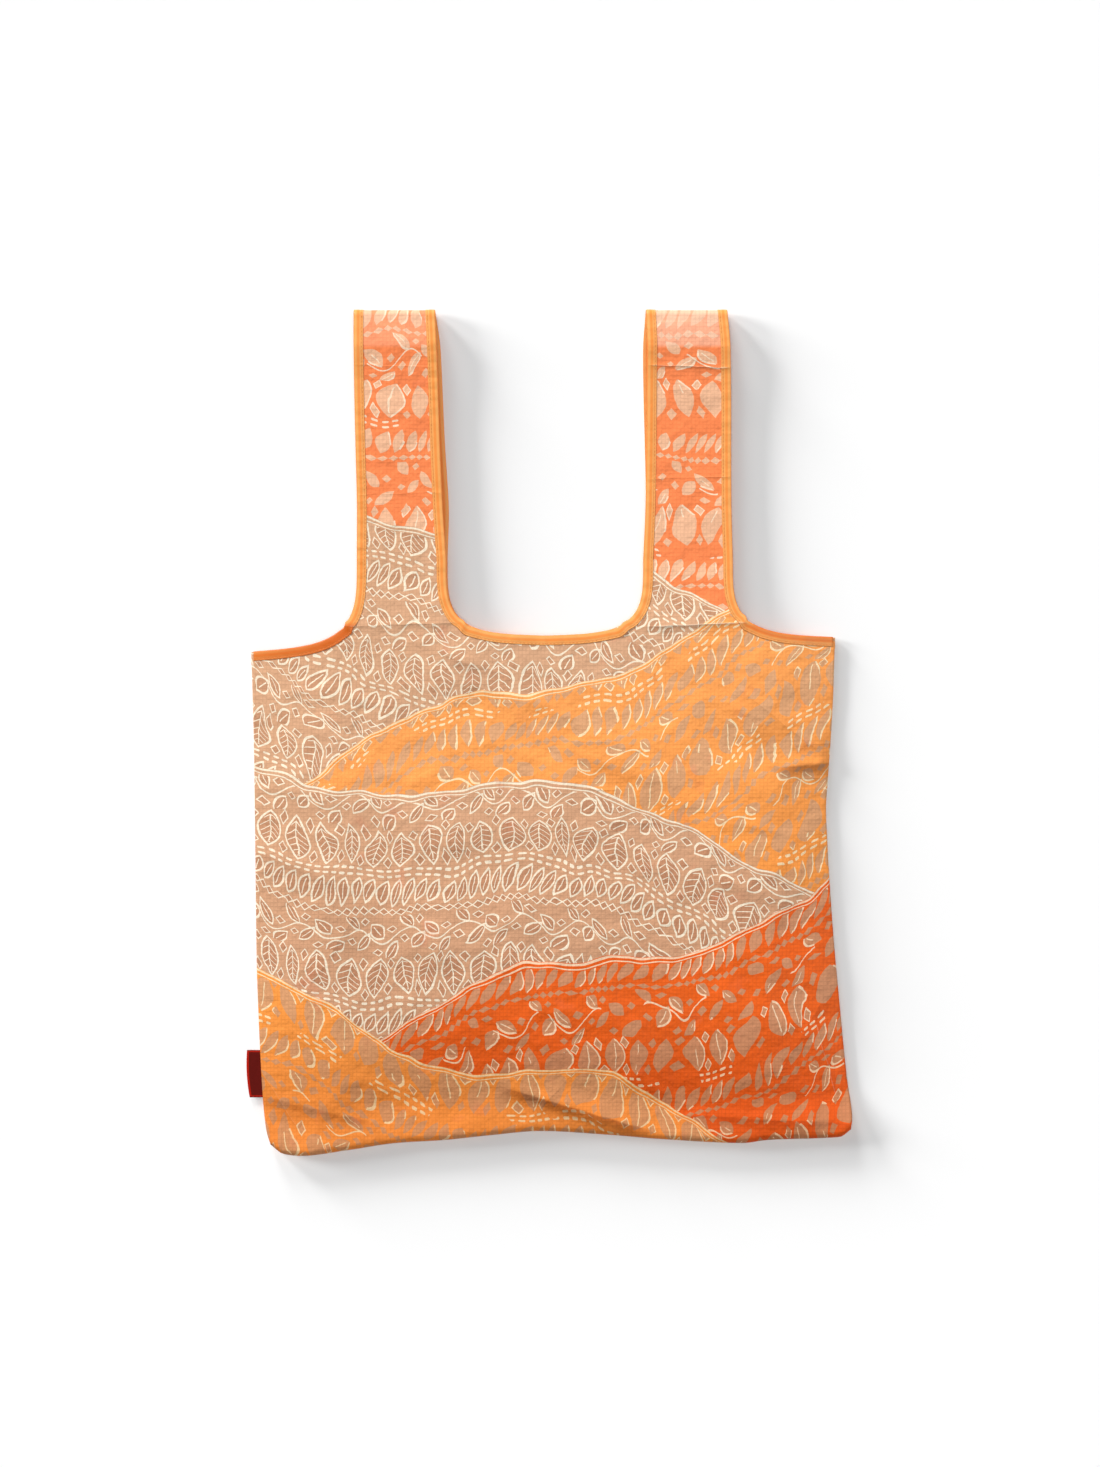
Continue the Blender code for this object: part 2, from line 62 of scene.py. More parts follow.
MM = 0.001
WELD = 0.00001
TURN_STEPS = 5
EDGE_POINTS = 400
EVEN_START = 1.6
LATTICE = 512
BODY = "root"
Array = np.ndarray
Color = tuple[float, float, float]


class Side(Enum):
    """Which side of the bag, as the sign of x."""

    LEFT = -1
    RIGHT = 1


class Run(Enum):
    """Which of a strap's two bound edges, as the sign of its distance from the bag's middle."""

    OUTER = 1
    INNER = -1


class Layer(Enum):
    """Which layer of cloth, as the side of it that shows."""

    FRONT = 1
    BACK = -1


class SidePoint(NamedTuple):
    """A point of a side seam: height as a share of the body's, reach as a share of half the width."""

    height: float
    reach: float


class BottomPoint(NamedTuple):
    """A point of the bottom edge: share of the way across, and height as a share of the body's."""

    across: float
    height: float


class StrapPoint(NamedTuple):
    """A level of the straps: rise is a share of the way to the fold, the others are strap widths."""

    rise: float
    left_drift: float
    right_drift: float
    width: float
    left_back_shift: float
    right_back_shift: float


class CrownPoint(NamedTuple):
    """A level of the front: height as a share of the bag's, crown as a share of the fold's top."""

    height: float
    crown: float


class SoftFold(NamedTuple):
    """A soft fold: its ends as shares of half the width and the body's height, its size in fold tops."""

    start_x: float
    start_y: float
    end_x: float
    end_y: float
    half_width: float
    rise: float


class Crease(NamedTuple):
    """A pressed crease: its ends, half width and height in millimetres of the pattern."""

    start_x: float
    start_y: float
    end_x: float
    end_y: float
    half_width: float
    rise: float


class Slump(NamedTuple):
    """A slumped fold: its ends, its reaches above and below its line, and its rise, in millimetres."""

    start_x: float
    start_y: float
    end_x: float
    end_y: float
    above: float
    below: float
    rise: float


class Kink(NamedTuple):
    """A nick of a bound edge at a pressed fold: its side, edge and height in the pattern, in mm."""

    side: Side
    run: Run
    height: float


class StitchRing(NamedTuple):
    """A ring of a stitch: place along it in its lengths, girth and height in thread widths."""

    place: float
    girth: float
    lift: float


LEFT_SIDE = (
    SidePoint(0.022, 0.935),
    SidePoint(0.050, 0.950),
    SidePoint(0.075, 0.957),
    SidePoint(0.115, 0.964),
    SidePoint(0.270, 0.978),
    SidePoint(0.390, 0.985),
    SidePoint(0.630, 0.990),
    SidePoint(0.830, 0.995),
    SidePoint(1.000, 1.003),
)
RIGHT_SIDE = (
    SidePoint(0.052, 1.058),
    SidePoint(0.075, 1.063),
    SidePoint(0.154, 1.046),
    SidePoint(0.312, 1.019),
    SidePoint(0.470, 0.995),
    SidePoint(0.630, 0.978),
    SidePoint(0.689, 0.974),
    SidePoint(0.748, 0.981),
    SidePoint(0.906, 0.998),
    SidePoint(1.029, 1.005),
)
BOTTOM_EDGE = (
    BottomPoint(0.000, 0.0220),
    BottomPoint(0.022, 0.0038),
    BottomPoint(0.051, 0.0000),
    BottomPoint(0.134, 0.0118),
    BottomPoint(0.216, 0.0257),
    BottomPoint(0.299, 0.0317),
    BottomPoint(0.382, 0.0416),
    BottomPoint(0.464, 0.0495),
    BottomPoint(0.588, 0.0416),
    BottomPoint(0.671, 0.0337),
    BottomPoint(0.815, 0.0257),
    BottomPoint(0.857, 0.0317),
    BottomPoint(0.981, 0.0375),
    BottomPoint(1.000, 0.0520),
)
STRAPS = (
    StrapPoint(0.00, -0.027, 0.030, 1.053, 0.011, 0.000),
    StrapPoint(0.24, -0.050, 0.036, 1.006, 0.069, 0.000),
    StrapPoint(0.48, -0.074, 0.039, 0.994, 0.055, -0.020),
    StrapPoint(0.64, -0.087, 0.041, 0.990, 0.049, -0.036),
    StrapPoint(0.84, -0.101, 0.039, 0.978, 0.041, -0.047),
    StrapPoint(1.00, -0.113, 0.013, 0.958, 0.000, 0.000),
)
CROWNS = (
    CrownPoint(0.00, 1.45),
    CrownPoint(0.20, 1.75),
    CrownPoint(0.40, 1.55),
    CrownPoint(0.55, 1.25),
    CrownPoint(0.61, 1.14),
    CrownPoint(0.70, 0.97),
    CrownPoint(0.80, 0.94),
    CrownPoint(0.90, 0.97),
    CrownPoint(0.96, 1.00),
    CrownPoint(1.00, 1.00),
)
SOFT_FOLDS = (
    SoftFold(1.02, 0.76, 0.66, 0.81, 1.9, -0.30),
    SoftFold(0.98, 0.67, 0.80, 0.60, 1.6, 0.12),
    SoftFold(0.05, 0.14, 0.42, 0.08, 1.7, -0.30),
    SoftFold(0.50, 0.09, 0.98, 0.08, 1.5, -0.22),
    SoftFold(-0.30, 0.30, 0.25, 0.42, 3.2, 0.14),
    SoftFold(-0.75, 0.20, -0.45, 0.55, 2.6, -0.12),
)
CREASES = (
    Crease(-172, 436, -60, 440, 1.7, 0.50),
    Crease(78, 436, 174, 440, 1.6, 0.85),
    Crease(-12, 343, 64, 341, 2.2, 0.30),
    Crease(28, 303, 62, 302, 1.4, 0.45),
    Crease(40, 277, 100, 274, 1.8, 0.30),
    Crease(82, 652, 160, 649, 1.3, 0.70),
    Crease(82, 558, 160, 560, 1.3, 0.40),
    Crease(-162, 545, -76, 547, 1.4, 0.30),
    Crease(-160, 652, -84, 650, 1.2, 0.30),
    Crease(-205, 120, -150, 205, 3.0, 0.40),
    Crease(150, 395, 232, 330, 3.5, 0.50),
    Crease(-60, 330, -130, 260, 4.0, 0.30),
    Crease(-20, 20, 30, 75, 3.0, 0.40),
    Crease(190, 60, 236, 140, 4.0, 0.45),
    Crease(-232, 330, -205, 240, 3.5, 0.40),
    Crease(-238, 78, -196, 14, 3.0, 0.55),
    Crease(222, 120, 246, 36, 2.6, 0.60),
)
SLUMPS = (
    Slump(-44, 61, 96, 19, 24, 4.2, 4.8),
    Slump(96, 35, 262, 27, 14, 5.0, 2.2),
    Slump(184, 319, 268, 328, 10, 6.0, 4.2),
    Slump(200, 338, 268, 342, 8, 4.5, 1.5),
    Slump(72, 438, 178, 442, 30, 4.6, 1.6),
    Slump(-176, 437, -56, 440, 26, 5.0, 0.9),
    Slump(-84, 414, -34, 399, 14, 6.0, 1.3),
    Slump(-262, 262, -140, 214, 28, 8.0, 1.8),
    Slump(10, 338, 130, 300, 32, 9.0, 1.5),
    Slump(-130, 186, 20, 150, 36, 10.0, 1.6),
    Slump(140, 176, 262, 128, 28, 7.0, 1.8),
    Slump(-246, 52, -130, 26, 18, 5.0, 1.8),
)
SHADES = (
    Crease(-44, 61, 96, 19, 7.0, 0.66),
    Crease(96, 35, 262, 27, 6.0, 0.34),
    Crease(184, 319, 268, 328, 8.0, 0.52),
    Crease(200, 338, 268, 342, 5.0, 0.30),
    Crease(72, 435, 178, 439, 5.0, 0.14),
    Crease(-84, 413, -34, 398, 8.0, 0.30),
    Crease(-246, 52, -130, 26, 9.0, 0.30),
    Crease(-262, 261, -140, 213, 16.0, 0.16),
    Crease(10, 337, 130, 299, 18.0, 0.14),
)
KINKS = (
    Kink(Side.LEFT, Run.OUTER, 437.5),
    Kink(Side.LEFT, Run.INNER, 438.8),
    Kink(Side.RIGHT, Run.INNER, 437.4),
    Kink(Side.RIGHT, Run.OUTER, 442.6),
)
STITCH = (
    StitchRing(-0.50, 0.15, -0.90),
    StitchRing(-0.38, 0.80, -0.10),
    StitchRing(0.00, 1.00, 0.35),
    StitchRing(0.38, 0.80, -0.10),
    StitchRing(0.50, 0.15, -0.90),
)
THREAD_SIDES = 6


def eased(x: Array | float) -> Array:
    """Eases a share from 0 to 1, level at both ends: 3 x^2 - 2 x^3.

    Args:
        x: Shares, which are held between 0 and 1.

    Returns:
        The eased shares.
    """
    share = np.clip(x, 0.0, 1.0)
    return share * share * (3 - 2 * share)


def through(xs: Sequence[float], ys: Sequence[float], x: Array | float) -> Array:
    """Smooth curve through points that never swings past them: cubics with harmonic mean slopes.

    Args:
        xs: Places of the points, rising.
        ys: Values at the points.
        x: Places to read.

    Returns:
        The curve's values at x.
    """
    xs, ys, x = np.asarray(xs, float), np.asarray(ys, float), np.asarray(x, float)
    run = np.diff(xs)
    slope = np.diff(ys) / run
    before, after = slope[:-1], slope[1:]
    same_way = before * after > 0
    safe = np.where(same_way, before + after, 1.0)
    inner = np.where(same_way, 2 * before * after / safe, 0.0)
    tangent = np.concatenate([slope[:1], inner, slope[-1:]])
    k = np.clip(np.searchsorted(xs, x) - 1, 0, len(run) - 1)
    u = np.clip((x - xs[k]) / run[k], 0.0, 1.0)
    rise = ys[k] * (1 + 2 * u) * (1 - u) ** 2 + ys[k + 1] * u * u * (3 - 2 * u)
    return rise + run[k] * u * (1 - u) * (tangent[k] * (1 - u) - tangent[k + 1] * u)


def column(table: Sequence[NamedTuple], name: str) -> list[float]:
    """One named column of a table."""
    return [getattr(row, name) for row in table]


def unit(vectors: Array) -> Array:
    """Vectors scaled to length one."""
    return vectors / np.linalg.norm(vectors, axis=-1, keepdims=True)


def rolling(x: Array, y: Array, length: float, seed: int, stretch: float = 1.0) -> Array:
    """Soft random ground from -1 to 1: values on a square lattice, eased between its corners.

    Args:
        x: Places along x.
        y: Places along y.
        length: Side of the lattice's squares along y.
        seed: Seed of the lattice's values.
        stretch: How much longer the squares are along x.

    Returns:
        The ground's value at each place.
    """
    lattice = np.random.default_rng(seed).uniform(-1, 1, (LATTICE, LATTICE))
    a, b = x / (length * stretch) + LATTICE // 2, y / length + LATTICE // 2
    i, j = (np.floor(part).astype(int) % (LATTICE - 1) for part in (a, b))
    u, v = eased(a - np.floor(a)), eased(b - np.floor(b))
    low = lattice[i, j] * (1 - u) + lattice[i + 1, j] * u
    high = lattice[i, j + 1] * (1 - u) + lattice[i + 1, j + 1] * u
    return low * (1 - v) + high * v


def along_line(flat: Array, start: Array, end: Array) -> tuple[Array, Array]:
    """Distance from a straight line between two points, and the share of the way along it.

    Args:
        flat: Points in the pattern.
        start: The line's start.
        end: The line's end.

    Returns:
        The distances and the shares, held between 0 and 1.
    """
    way = end - start
    share = np.clip(((flat - start) @ way) / way.dot(way), 0, 1)
    return np.linalg.norm(flat - start - share[..., None] * way, axis=-1), share


def ends_of(line: Crease | Slump) -> tuple[Array, Array]:
    """Start and end of a crease or a slump, in metres."""
    return np.array([line.start_x, line.start_y]) * MM, np.array([line.end_x, line.end_y]) * MM


@dataclass
class BagShape:
    """The bag's outline and the heights of its layers, by the same rules as its solids."""

    body_width: float = 480 * MM
    body_height: float = 416 * MM
    handle_height: float = 282 * MM
    strap_width: float = 70 * MM
    mouth_width: float = 162 * MM
    mouth_offset: float = 1.5 * MM
    cloth: float = 0.4 * MM
    edge_inset: float = 0.5 * MM
    rim_depth: float = 7.8 * MM
    tape_half: float = 0.7 * MM
    side_radius: float = 1.5 * MM
    bottom_radius: float = 5.0 * MM
    fold_radius: float = 4.8 * MM
    fold_top: float = 10.35 * MM
    side_slope: float = 80 * MM
    bottom_slope: float = 110 * MM
    corner_rise: float = 38 * MM
    back_lift_start: float = 90 * MM
    back_lift_end: float = 34 * MM
    crease_drop: float = 30 * MM
    crease_height: float = 2.2 * MM
    crease_reach: float = 26 * MM
    mouth_rise: float = 13 * MM
    right_shoulder_rise: float = 12 * MM
    root_rise: float = 29 * MM
    foot_rise: float = 75 * MM
    mouth_sag: float = 2.5 * MM
    left_shoulder_sag: float = 6.6 * MM
    right_shoulder_sag: float = 3.3 * MM
    corner_power: float = 3.8
    seam_gap: float = 0.05 * MM

    @property
    def bag_height(self) -> float:
        """Height of the whole bag, handles included."""
        return self.body_height + self.handle_height

    @property
    def apex(self) -> float:
        """Height of the middle of the cloth at the strap's fold."""
        return self.bag_height - self.tape_half

    @property
    def root_height(self) -> float:
        """Height at which the straps leave the body's grid."""
        return self.body_height + self.root_rise

    @property
    def foot_height(self) -> float:
        """Height at which the shoulder and mouth curves run into the straps' straight edges."""
        return self.body_height + self.foot_rise

    @property
    def mouth_height(self) -> float:
        """Height of the mouth's edge in its middle."""
        return self.body_height + self.mouth_rise

    @property
    def edge_rest(self) -> float:
        """Height of the back's cloth where its edges are bound."""
        return self.fold_top - 2 * self.fold_radius

    @property
    def fold_middle(self) -> float:
        """Height of the middle of the straps' fold."""
        return self.edge_rest + self.fold_radius

    def side_x(self, side: Side, y: Array | float) -> Array:
        """Middle of the cloth at a side seam: half the width times the table's smooth reach.

        Args:
            side: Left or right.
            y: Heights in the pattern.

        Returns:
            The x of the seam at each height.
        """
        table = LEFT_SIDE if side is Side.LEFT else RIGHT_SIDE
        reach = through(column(table, "height"), column(table, "reach"), np.asarray(y) / self.body_height)
        return side.value * (self.body_width / 2 * reach - self.cloth / 2)

    def bottom_y(self, across: Array | float) -> Array:
        """Middle of the cloth at the bottom edge.

        Args:
            across: Shares of the way between the bottom corners.

        Returns:
            The y of the edge at each share.
        """
        height = through(column(BOTTOM_EDGE, "across"), column(BOTTOM_EDGE, "height"), across)
        return height * self.body_height + self.cloth / 2

    def strap_edge(self, side: Side, run: Run, y: Array | float, layer: Layer) -> Array:
        """Outline of one straight edge of a strap: its drifting middle plus or minus half its width.

        Args:
            side: Left or right strap.
            run: Its outer or inner edge.
            y: Heights in the pattern.
            layer: The front's layer, or the back's, which is shifted a little.

        Returns:
            The x of the edge at each height.
        """
        rise = (np.asarray(y) - self.foot_height) / (self.apex - self.foot_height)
        rows = column(STRAPS, "rise")
        name = side.name.lower()
        middle = self.mouth_offset + side.value * (self.mouth_width + self.strap_width) / 2
        middle = middle + self.strap_width * through(rows, column(STRAPS, f"{name}_drift"), rise)
        if layer is Layer.BACK:
            middle = middle + self.strap_width * through(rows, column(STRAPS, f"{name}_back_shift"), rise)
        half = self.strap_width / 2 * through(rows, column(STRAPS, "width"), rise)
        return middle + side.value * run.value * half

    def edge_line(self, side: Side, run: Run, layer: Layer) -> Array:
        """Dense outline of a bound edge: a superellipse quarter from its low end, then the strap's edge.

        Args:
            side: Left or right.
            run: Outer, from the side seam, or inner, from the mouth's middle.
            layer: Front or back.

        Returns:
            Points (count, 2) from the low end to the strap's fold.
        """
        if run is Run.OUTER:
            low_y = self.body_height + (0 if side is Side.LEFT else self.right_shoulder_rise)
            low_x = self.side_x(side, low_y)
            sag = self.left_shoulder_sag if side is Side.LEFT else self.right_shoulder_sag
        else:
            low_x, low_y, sag = self.mouth_offset, self.mouth_height, self.mouth_sag
        turn = np.linspace(0, np.pi / 2, EDGE_POINTS)
        across = np.sin(turn) ** (2 / self.corner_power)
        up = 1 - np.clip(np.cos(turn), 0, 1) ** (2 / self.corner_power)
        foot_x = self.strap_edge(side, run, self.foot_height, layer)
        x = low_x + (foot_x - low_x) * across
        y = low_y + sag * across + (self.foot_height - low_y - sag) * up
        strap_y = np.linspace(self.foot_height, self.apex, EDGE_POINTS)[1:]
        strap_x = self.strap_edge(side, run, strap_y, layer)
        return np.column_stack([np.append(x, strap_x), np.append(y, strap_y)])

    def fold_rise(self, x: Array, y: Array) -> Array:
        """Sum of the soft folds: each is its rise times exp(-(distance / half width)^2).

        Args:
            x: Places across the front.
            y: Heights in the pattern.

        Returns:
            The folds' height at each point.
        """
        total = np.zeros_like(x)
        scale = np.array([self.body_width / 2, self.body_height])
        for fold in SOFT_FOLDS:
            start = np.array([fold.start_x, fold.start_y]) * scale
            end = np.array([fold.end_x, fold.end_y]) * scale
            away, _ = along_line(np.stack([x, y], axis=-1), start, end)
            total += fold.rise * self.fold_top * np.exp(-((away / (fold.half_width * self.fold_top)) ** 2))
        return total

    def rest_height(self, y: Array) -> Array:
        """Height of the back's cloth: flat on the surface, and lifted towards the bound edges."""
        start, end = self.mouth_height - self.back_lift_start, self.mouth_height - self.back_lift_end
        return self.cloth / 2 + (self.edge_rest - self.cloth / 2) * eased((y - start) / (end - start))

    def seam_radius(self, above_bottom: Array) -> Array:
        """Radius of the turned cloth at the seams, which grows towards the bottom."""
        grown = self.bottom_radius - self.side_radius
        return self.side_radius + grown * eased(1 - above_bottom / self.corner_rise)

    def crown_height(self, y: Array) -> Array:
        """Height of the front along the bag's length, with the pressed crease near the fold."""
        crown = through(column(CROWNS, "height"), column(CROWNS, "crown"), y / self.bag_height)
        crease = 1 - np.abs(y - (self.apex - self.crease_drop)) / self.crease_reach
        return self.fold_top * crown + self.crease_height * np.clip(crease, 0, 1)

    def above_bottom(self, flat: Array) -> Array:
        """Height of flat points above the bottom edge under them."""
        left, right = self.side_x(Side.LEFT, flat[..., 1]), self.side_x(Side.RIGHT, flat[..., 1])
        return flat[..., 1] - self.bottom_y((flat[..., 0] - left) / (right - left))

    def side_distance(self, flat: Array, side: Side) -> Array:
        """Distance of flat points from a side seam."""
        return side.value * (self.side_x(side, flat[..., 1]) - flat[..., 0])

    def surface(self, flat: Array, layer: Layer, turned: Array | float = 1.0) -> Array:
        """Height of flat points on a layer: the turned seam's quarter round, plus the crown's share.

        Args:
            flat: Points (..., 2) of the pattern.
            layer: Front or back.
            turned: How much of the seam's turn each point has reached, 1 away from a seam.

        Returns:
            The heights of the middle of the cloth.
        """
        y = flat[..., 1]
        above = self.above_bottom(flat)
        rest, radius = self.rest_height(y), self.seam_radius(above)
        height = self.seam_gap + (radius - self.seam_gap) * turned
        if layer is Layer.BACK:
            return rest + radius - height
        share = np.ones_like(y)
        for distance, reach in (
            (self.side_distance(flat, Side.LEFT), self.side_slope),
            (self.side_distance(flat, Side.RIGHT), self.side_slope),
            (above, self.bottom_slope),
        ):
            share = share * np.sin(np.clip(distance / reach, 0, 1) * np.pi / 2)
        full = self.crown_height(y) - rest - 2 * radius + self.fold_rise(flat[..., 0], y)
        return rest + radius + height + full * share


class BoundEdge:
    """One bound edge, from its low end at a side seam or the mouth's middle up to the strap's fold."""

    def __init__(self, shape: BagShape, side: Side, run: Run, layer: Layer, step: float) -> None:
        """Measures the outline and its inward directions.

        Args:
            shape: The bag's shape.
            side: Left or right.
            run: Outer or inner edge of the strap.
            layer: Front or back.
            step: Distance between the stations along the edge.
        """
        self.shape, self.side, self.run = shape, side, run
        self.line = shape.edge_line(side, run, layer)
        self.length = np.append(0.0, np.cumsum(np.hypot(*np.diff(self.line, axis=0).T)))
        tangent = np.gradient(self.line, self.length, axis=0)
        turn = side.value * run.value
        self.inward = turn * np.column_stack([-tangent[:, 1], tangent[:, 0]])
        root = float(np.interp(shape.root_height, self.line[:, 1], self.length))
        quarter = np.linspace(0, np.pi / 2, TURN_STEPS)
        if run is Run.OUTER:
            start = shape.side_radius * EVEN_START
            count = max(3, round((root - start) / step))
            turned = shape.side_radius * (1 - np.cos(quarter))
            self.low = np.append(turned, np.linspace(start, root, count))
        else:
            self.low = np.linspace(0, root, max(3, round(root / step)))

    def at_length(self, lengths: Array, depths: Sequence[float]) -> Array:
        """Flat points at lengths along the outline and depths in from it.

        Args:
            lengths: Lengths along the outline.
            depths: Distances in from the outline.

        Returns:
            Points (depths, lengths, 2).
        """
        shape = self.shape
        outline = np.column_stack([np.interp(lengths, self.length, part) for part in self.line.T])
        inward = np.column_stack([np.interp(lengths, self.length, part) for part in self.inward.T])
        near = 1 - eased(np.asarray(lengths) / (shape.strap_width / 2))[:, None]
        inward = inward * (1 - near) + np.array([0.0, -1.0]) * near
        level = eased((outline[:, 1:] - shape.apex + shape.crease_drop) / (shape.crease_drop / 2))
        across = np.array([-self.side.value * self.run.value, 0.0])
        inward = unit(inward * (1 - level) + across * level)
        return np.stack([outline + depth * inward for depth in depths])

    def strap_lengths(self, rows: Array) -> Array:
        """Lengths along the outline at the given heights above the strap's root."""
        return np.interp(rows, self.line[:, 1], self.length)


@dataclass
class ClothRelief:
    """Small heights that the cloth takes: slack, crinkles, creases, slumped folds and puckers."""

    shape: BagShape
    edges: Sequence[BoundEdge]
    slack: float = 1.55 * MM
    slack_wave: float = 0.085
    cross_wave: float = 0.042
    fold_wave: float = 0.05
    crinkle: float = 0.26 * MM
    crinkle_wave: float = 0.014
    fine_wave: float = 0.008
    free_reach: float = 0.05
    calm_seam: float = 0.030
    pucker: float = 0.34 * MM
    pucker_pitch: float = 11 * MM
    pucker_reach: float = 13 * MM
    pucker_wander: float = 2.2
    crease_share: float = 0.5
    crease_wobble: float = 0.6 * MM
    slump_swing: float = 1.5 * MM
    slump_round: float = 1.6 * MM
    strap_calm: float = 0.35
    back_share: float = 0.35
    back_seed: int = 500
    stride: int = 6
    side_apart: float = 0.4
    run_apart: float = 0.9

    def edge_place(self, flat: Array) -> tuple[Array, Array]:
        """Distance to the nearest bound edge, and the length along it.

        Args:
            flat: Points (..., 2) of the pattern.

        Returns:
            The distances and the lengths.
        """
        best = np.full(flat.shape[:-1], 1.0)
        place = np.zeros(flat.shape[:-1])
        for edge in self.edges:
            apart = self.side_apart * edge.side.value + self.run_apart * edge.run.value
            for point, length in zip(edge.line[:: self.stride], edge.length[:: self.stride]):
                away = np.hypot(flat[..., 0] - point[0], flat[..., 1] - point[1])
                closer = away < best
                best = np.where(closer, away, best)
                place = np.where(closer, length + apart, place)
        return best, place

    def seam_place(self, flat: Array) -> tuple[Array, Array]:
        """Distance to the nearest side or bottom seam, and the length along it.

        Args:
            flat: Points (..., 2) of the pattern.

        Returns:
            The distances and the lengths.
        """
        left = self.shape.side_distance(flat, Side.LEFT)
        right = self.shape.side_distance(flat, Side.RIGHT)
        bottom = self.shape.above_bottom(flat)
        nearest = np.minimum(np.minimum(left, right), bottom)
        place = np.where(nearest == bottom, flat[..., 0], flat[..., 1])
        return nearest, place

    def puckers(self, away: Array, place: Array, seed: int) -> Array:
        """Ripples square to an edge: sin(place / pitch) with a wandering phase, dying away from it.

        Args:
            away: Distances from the edge.
            place: Lengths along the edge.
            seed: Seed of the wander.

        Returns:
            The ripples' height.
        """
        wander = self.pucker_wander * rolling(place, place * 0, 0.035, seed)
        strength = 0.55 + 0.45 * rolling(place, place * 0, 0.06, seed + 1)
        waves = np.sin(2 * np.pi * place / self.pucker_pitch + wander)
        return strength * waves * np.exp(-away / self.pucker_reach)

    def creases(self, flat: Array) -> Array:
        """Pressed creases: each a ridge exp(-|distance| / half width) that fades at its ends.

        Args:
            flat: Points (..., 2) of the pattern.

        Returns:
            The creases' height.
        """
        total = np.zeros(flat.shape[:-1])
        wobble = self.crease_wobble * rolling(flat[..., 0], flat[..., 1], 0.012, 71)
        for crease in CREASES:
            away, share = along_line(flat, *ends_of(crease))
            ridge = np.exp(-np.abs(away + wobble) / (crease.half_width * MM))
            ends = np.clip(4 * share, 0.25, 1) * np.clip(4 * (1 - share), 0.25, 1)
            total += crease.rise * MM * ridge * ends
        return total

    def slumps(self, flat: Array) -> Array:
        """Slumped folds: each exp(-|distance| / reach), gentle above its line and steep below it.

        Args:
            flat: Points (..., 2) of the pattern.

        Returns:
            The folds' height.
        """
        x, y = flat[..., 0], flat[..., 1]
        swing = np.stack([rolling(x, y, 0.03, seed) for seed in (72, 73)], axis=-1) * self.slump_swing
        total = np.zeros(flat.shape[:-1])
        for slump in SLUMPS:
            start, end = ends_of(slump)
            way, from_start = end - start, flat + swing - start
            share = from_start @ way / way.dot(way)
            away = (way[0] * from_start[..., 1] - way[1] * from_start[..., 0]) / np.hypot(*way)
            reach = np.where(away > 0, slump.above, slump.below) * MM
            near = np.exp(-(np.hypot(away, self.slump_round) - self.slump_round) / reach)
            total += slump.rise * MM * near * eased(3 * share) * eased(3 * (1 - share))
        return total

    def loose(self, x: Array, y: Array, seed: int) -> Array:
        """Long waves of loose cloth with a slanting set across them, and low ridges between them.

        Args:
            x: Places across the pattern.
            y: Places along the pattern.
            seed: Seed of the layer.

        Returns:
            The waves, as shares of the slack's height.
        """
        across = rolling(x + y * 0.5, y - x * 0.3, self.cross_wave, 12 + seed)
        slack = rolling(x, y, self.slack_wave, 11 + seed, 1.2) + 0.5 * across
        fold = 1 - np.abs(rolling(x - y * 0.4, y + x * 0.3, self.fold_wave, 13 + seed, 1.6)) * 2.4
        return slack + np.clip(fold, 0, 1) ** 2 * 0.55

    def lift(self, flat: Array, layer: Layer) -> Array:
        """Height that the relief adds at flat points of a layer.

        Args:
            flat: Points (..., 2) of the pattern.
            layer: Front or back.

        Returns:
            The heights, 0 at the side and bottom seams.
        """
        x, y = flat[..., 0], flat[..., 1]
        away, place = self.edge_place(flat)
        seam_away, seam_place = self.seam_place(flat)
        seed = 0 if layer is Layer.FRONT else self.back_seed
        fine = rolling(x, y, self.crinkle_wave, 14 + seed) + 0.6 * rolling(x, y, self.fine_wave, 15 + seed)
        free = eased(away / self.free_reach) * 0.75 + 0.25
        total = self.slack * self.loose(x, y, seed) * free + self.crinkle * fine
        total = total + self.pucker * self.puckers(away, place, 31 + seed)
        total = total + self.creases(flat) * self.crease_share
        total = total * eased(seam_away / self.calm_seam)
        if layer is Layer.FRONT:
            total = total + self.slumps(flat) * eased(seam_away / 0.010)
        seam_ripples = 1.3 * self.pucker * self.puckers(seam_away, seam_place, 41 + seed)
        total = total + seam_ripples * eased(seam_away / 0.004)
        on_strap = eased((y - self.shape.foot_height) / (20 * MM))
        total = total * (1 - self.strap_calm * on_strap)
        return total if layer is Layer.FRONT else np.abs(total) * self.back_share


def weld(points: Array, flats: Array, faces: Array) -> tuple[Array, Array, Array]:
    """Merges the points that patches share.

    Args:
        points: Points (count, 3).
        flats: Their pattern points (count, 2).
        faces: Corner numbers (count, 4).

    Returns:
        The merged points, pattern points and faces.
    """
    keys = np.round(points / WELD).astype(np.int64)
    _, first, same = np.unique(keys, axis=0, return_index=True, return_inverse=True)
    return points[first], flats[first], same.reshape(-1)[faces]


def quads_between(at: Array) -> Array:
    """Quads between the neighbours in a grid of point numbers (..., rows, columns)."""
    corners = [at[..., :-1, :-1], at[..., :-1, 1:], at[..., 1:, 1:], at[..., 1:, :-1]]
    return np.stack(corners, axis=-1).reshape(-1, 4)


def grid_faces(rows: int, columns: int, first: int = 0, flip: bool = False) -> Array:
    """Quads of a grid of points numbered row by row.

    Args:
        rows: Rows of points.
        columns: Points in a row.
        first: Number of the first point.
        flip: Turns the quads to face the other way.

    Returns:
        Corner numbers (count, 4).
    """
    quads = quads_between(first + np.arange(rows * columns).reshape(rows, columns))
    return quads[:, ::-1] if flip else quads


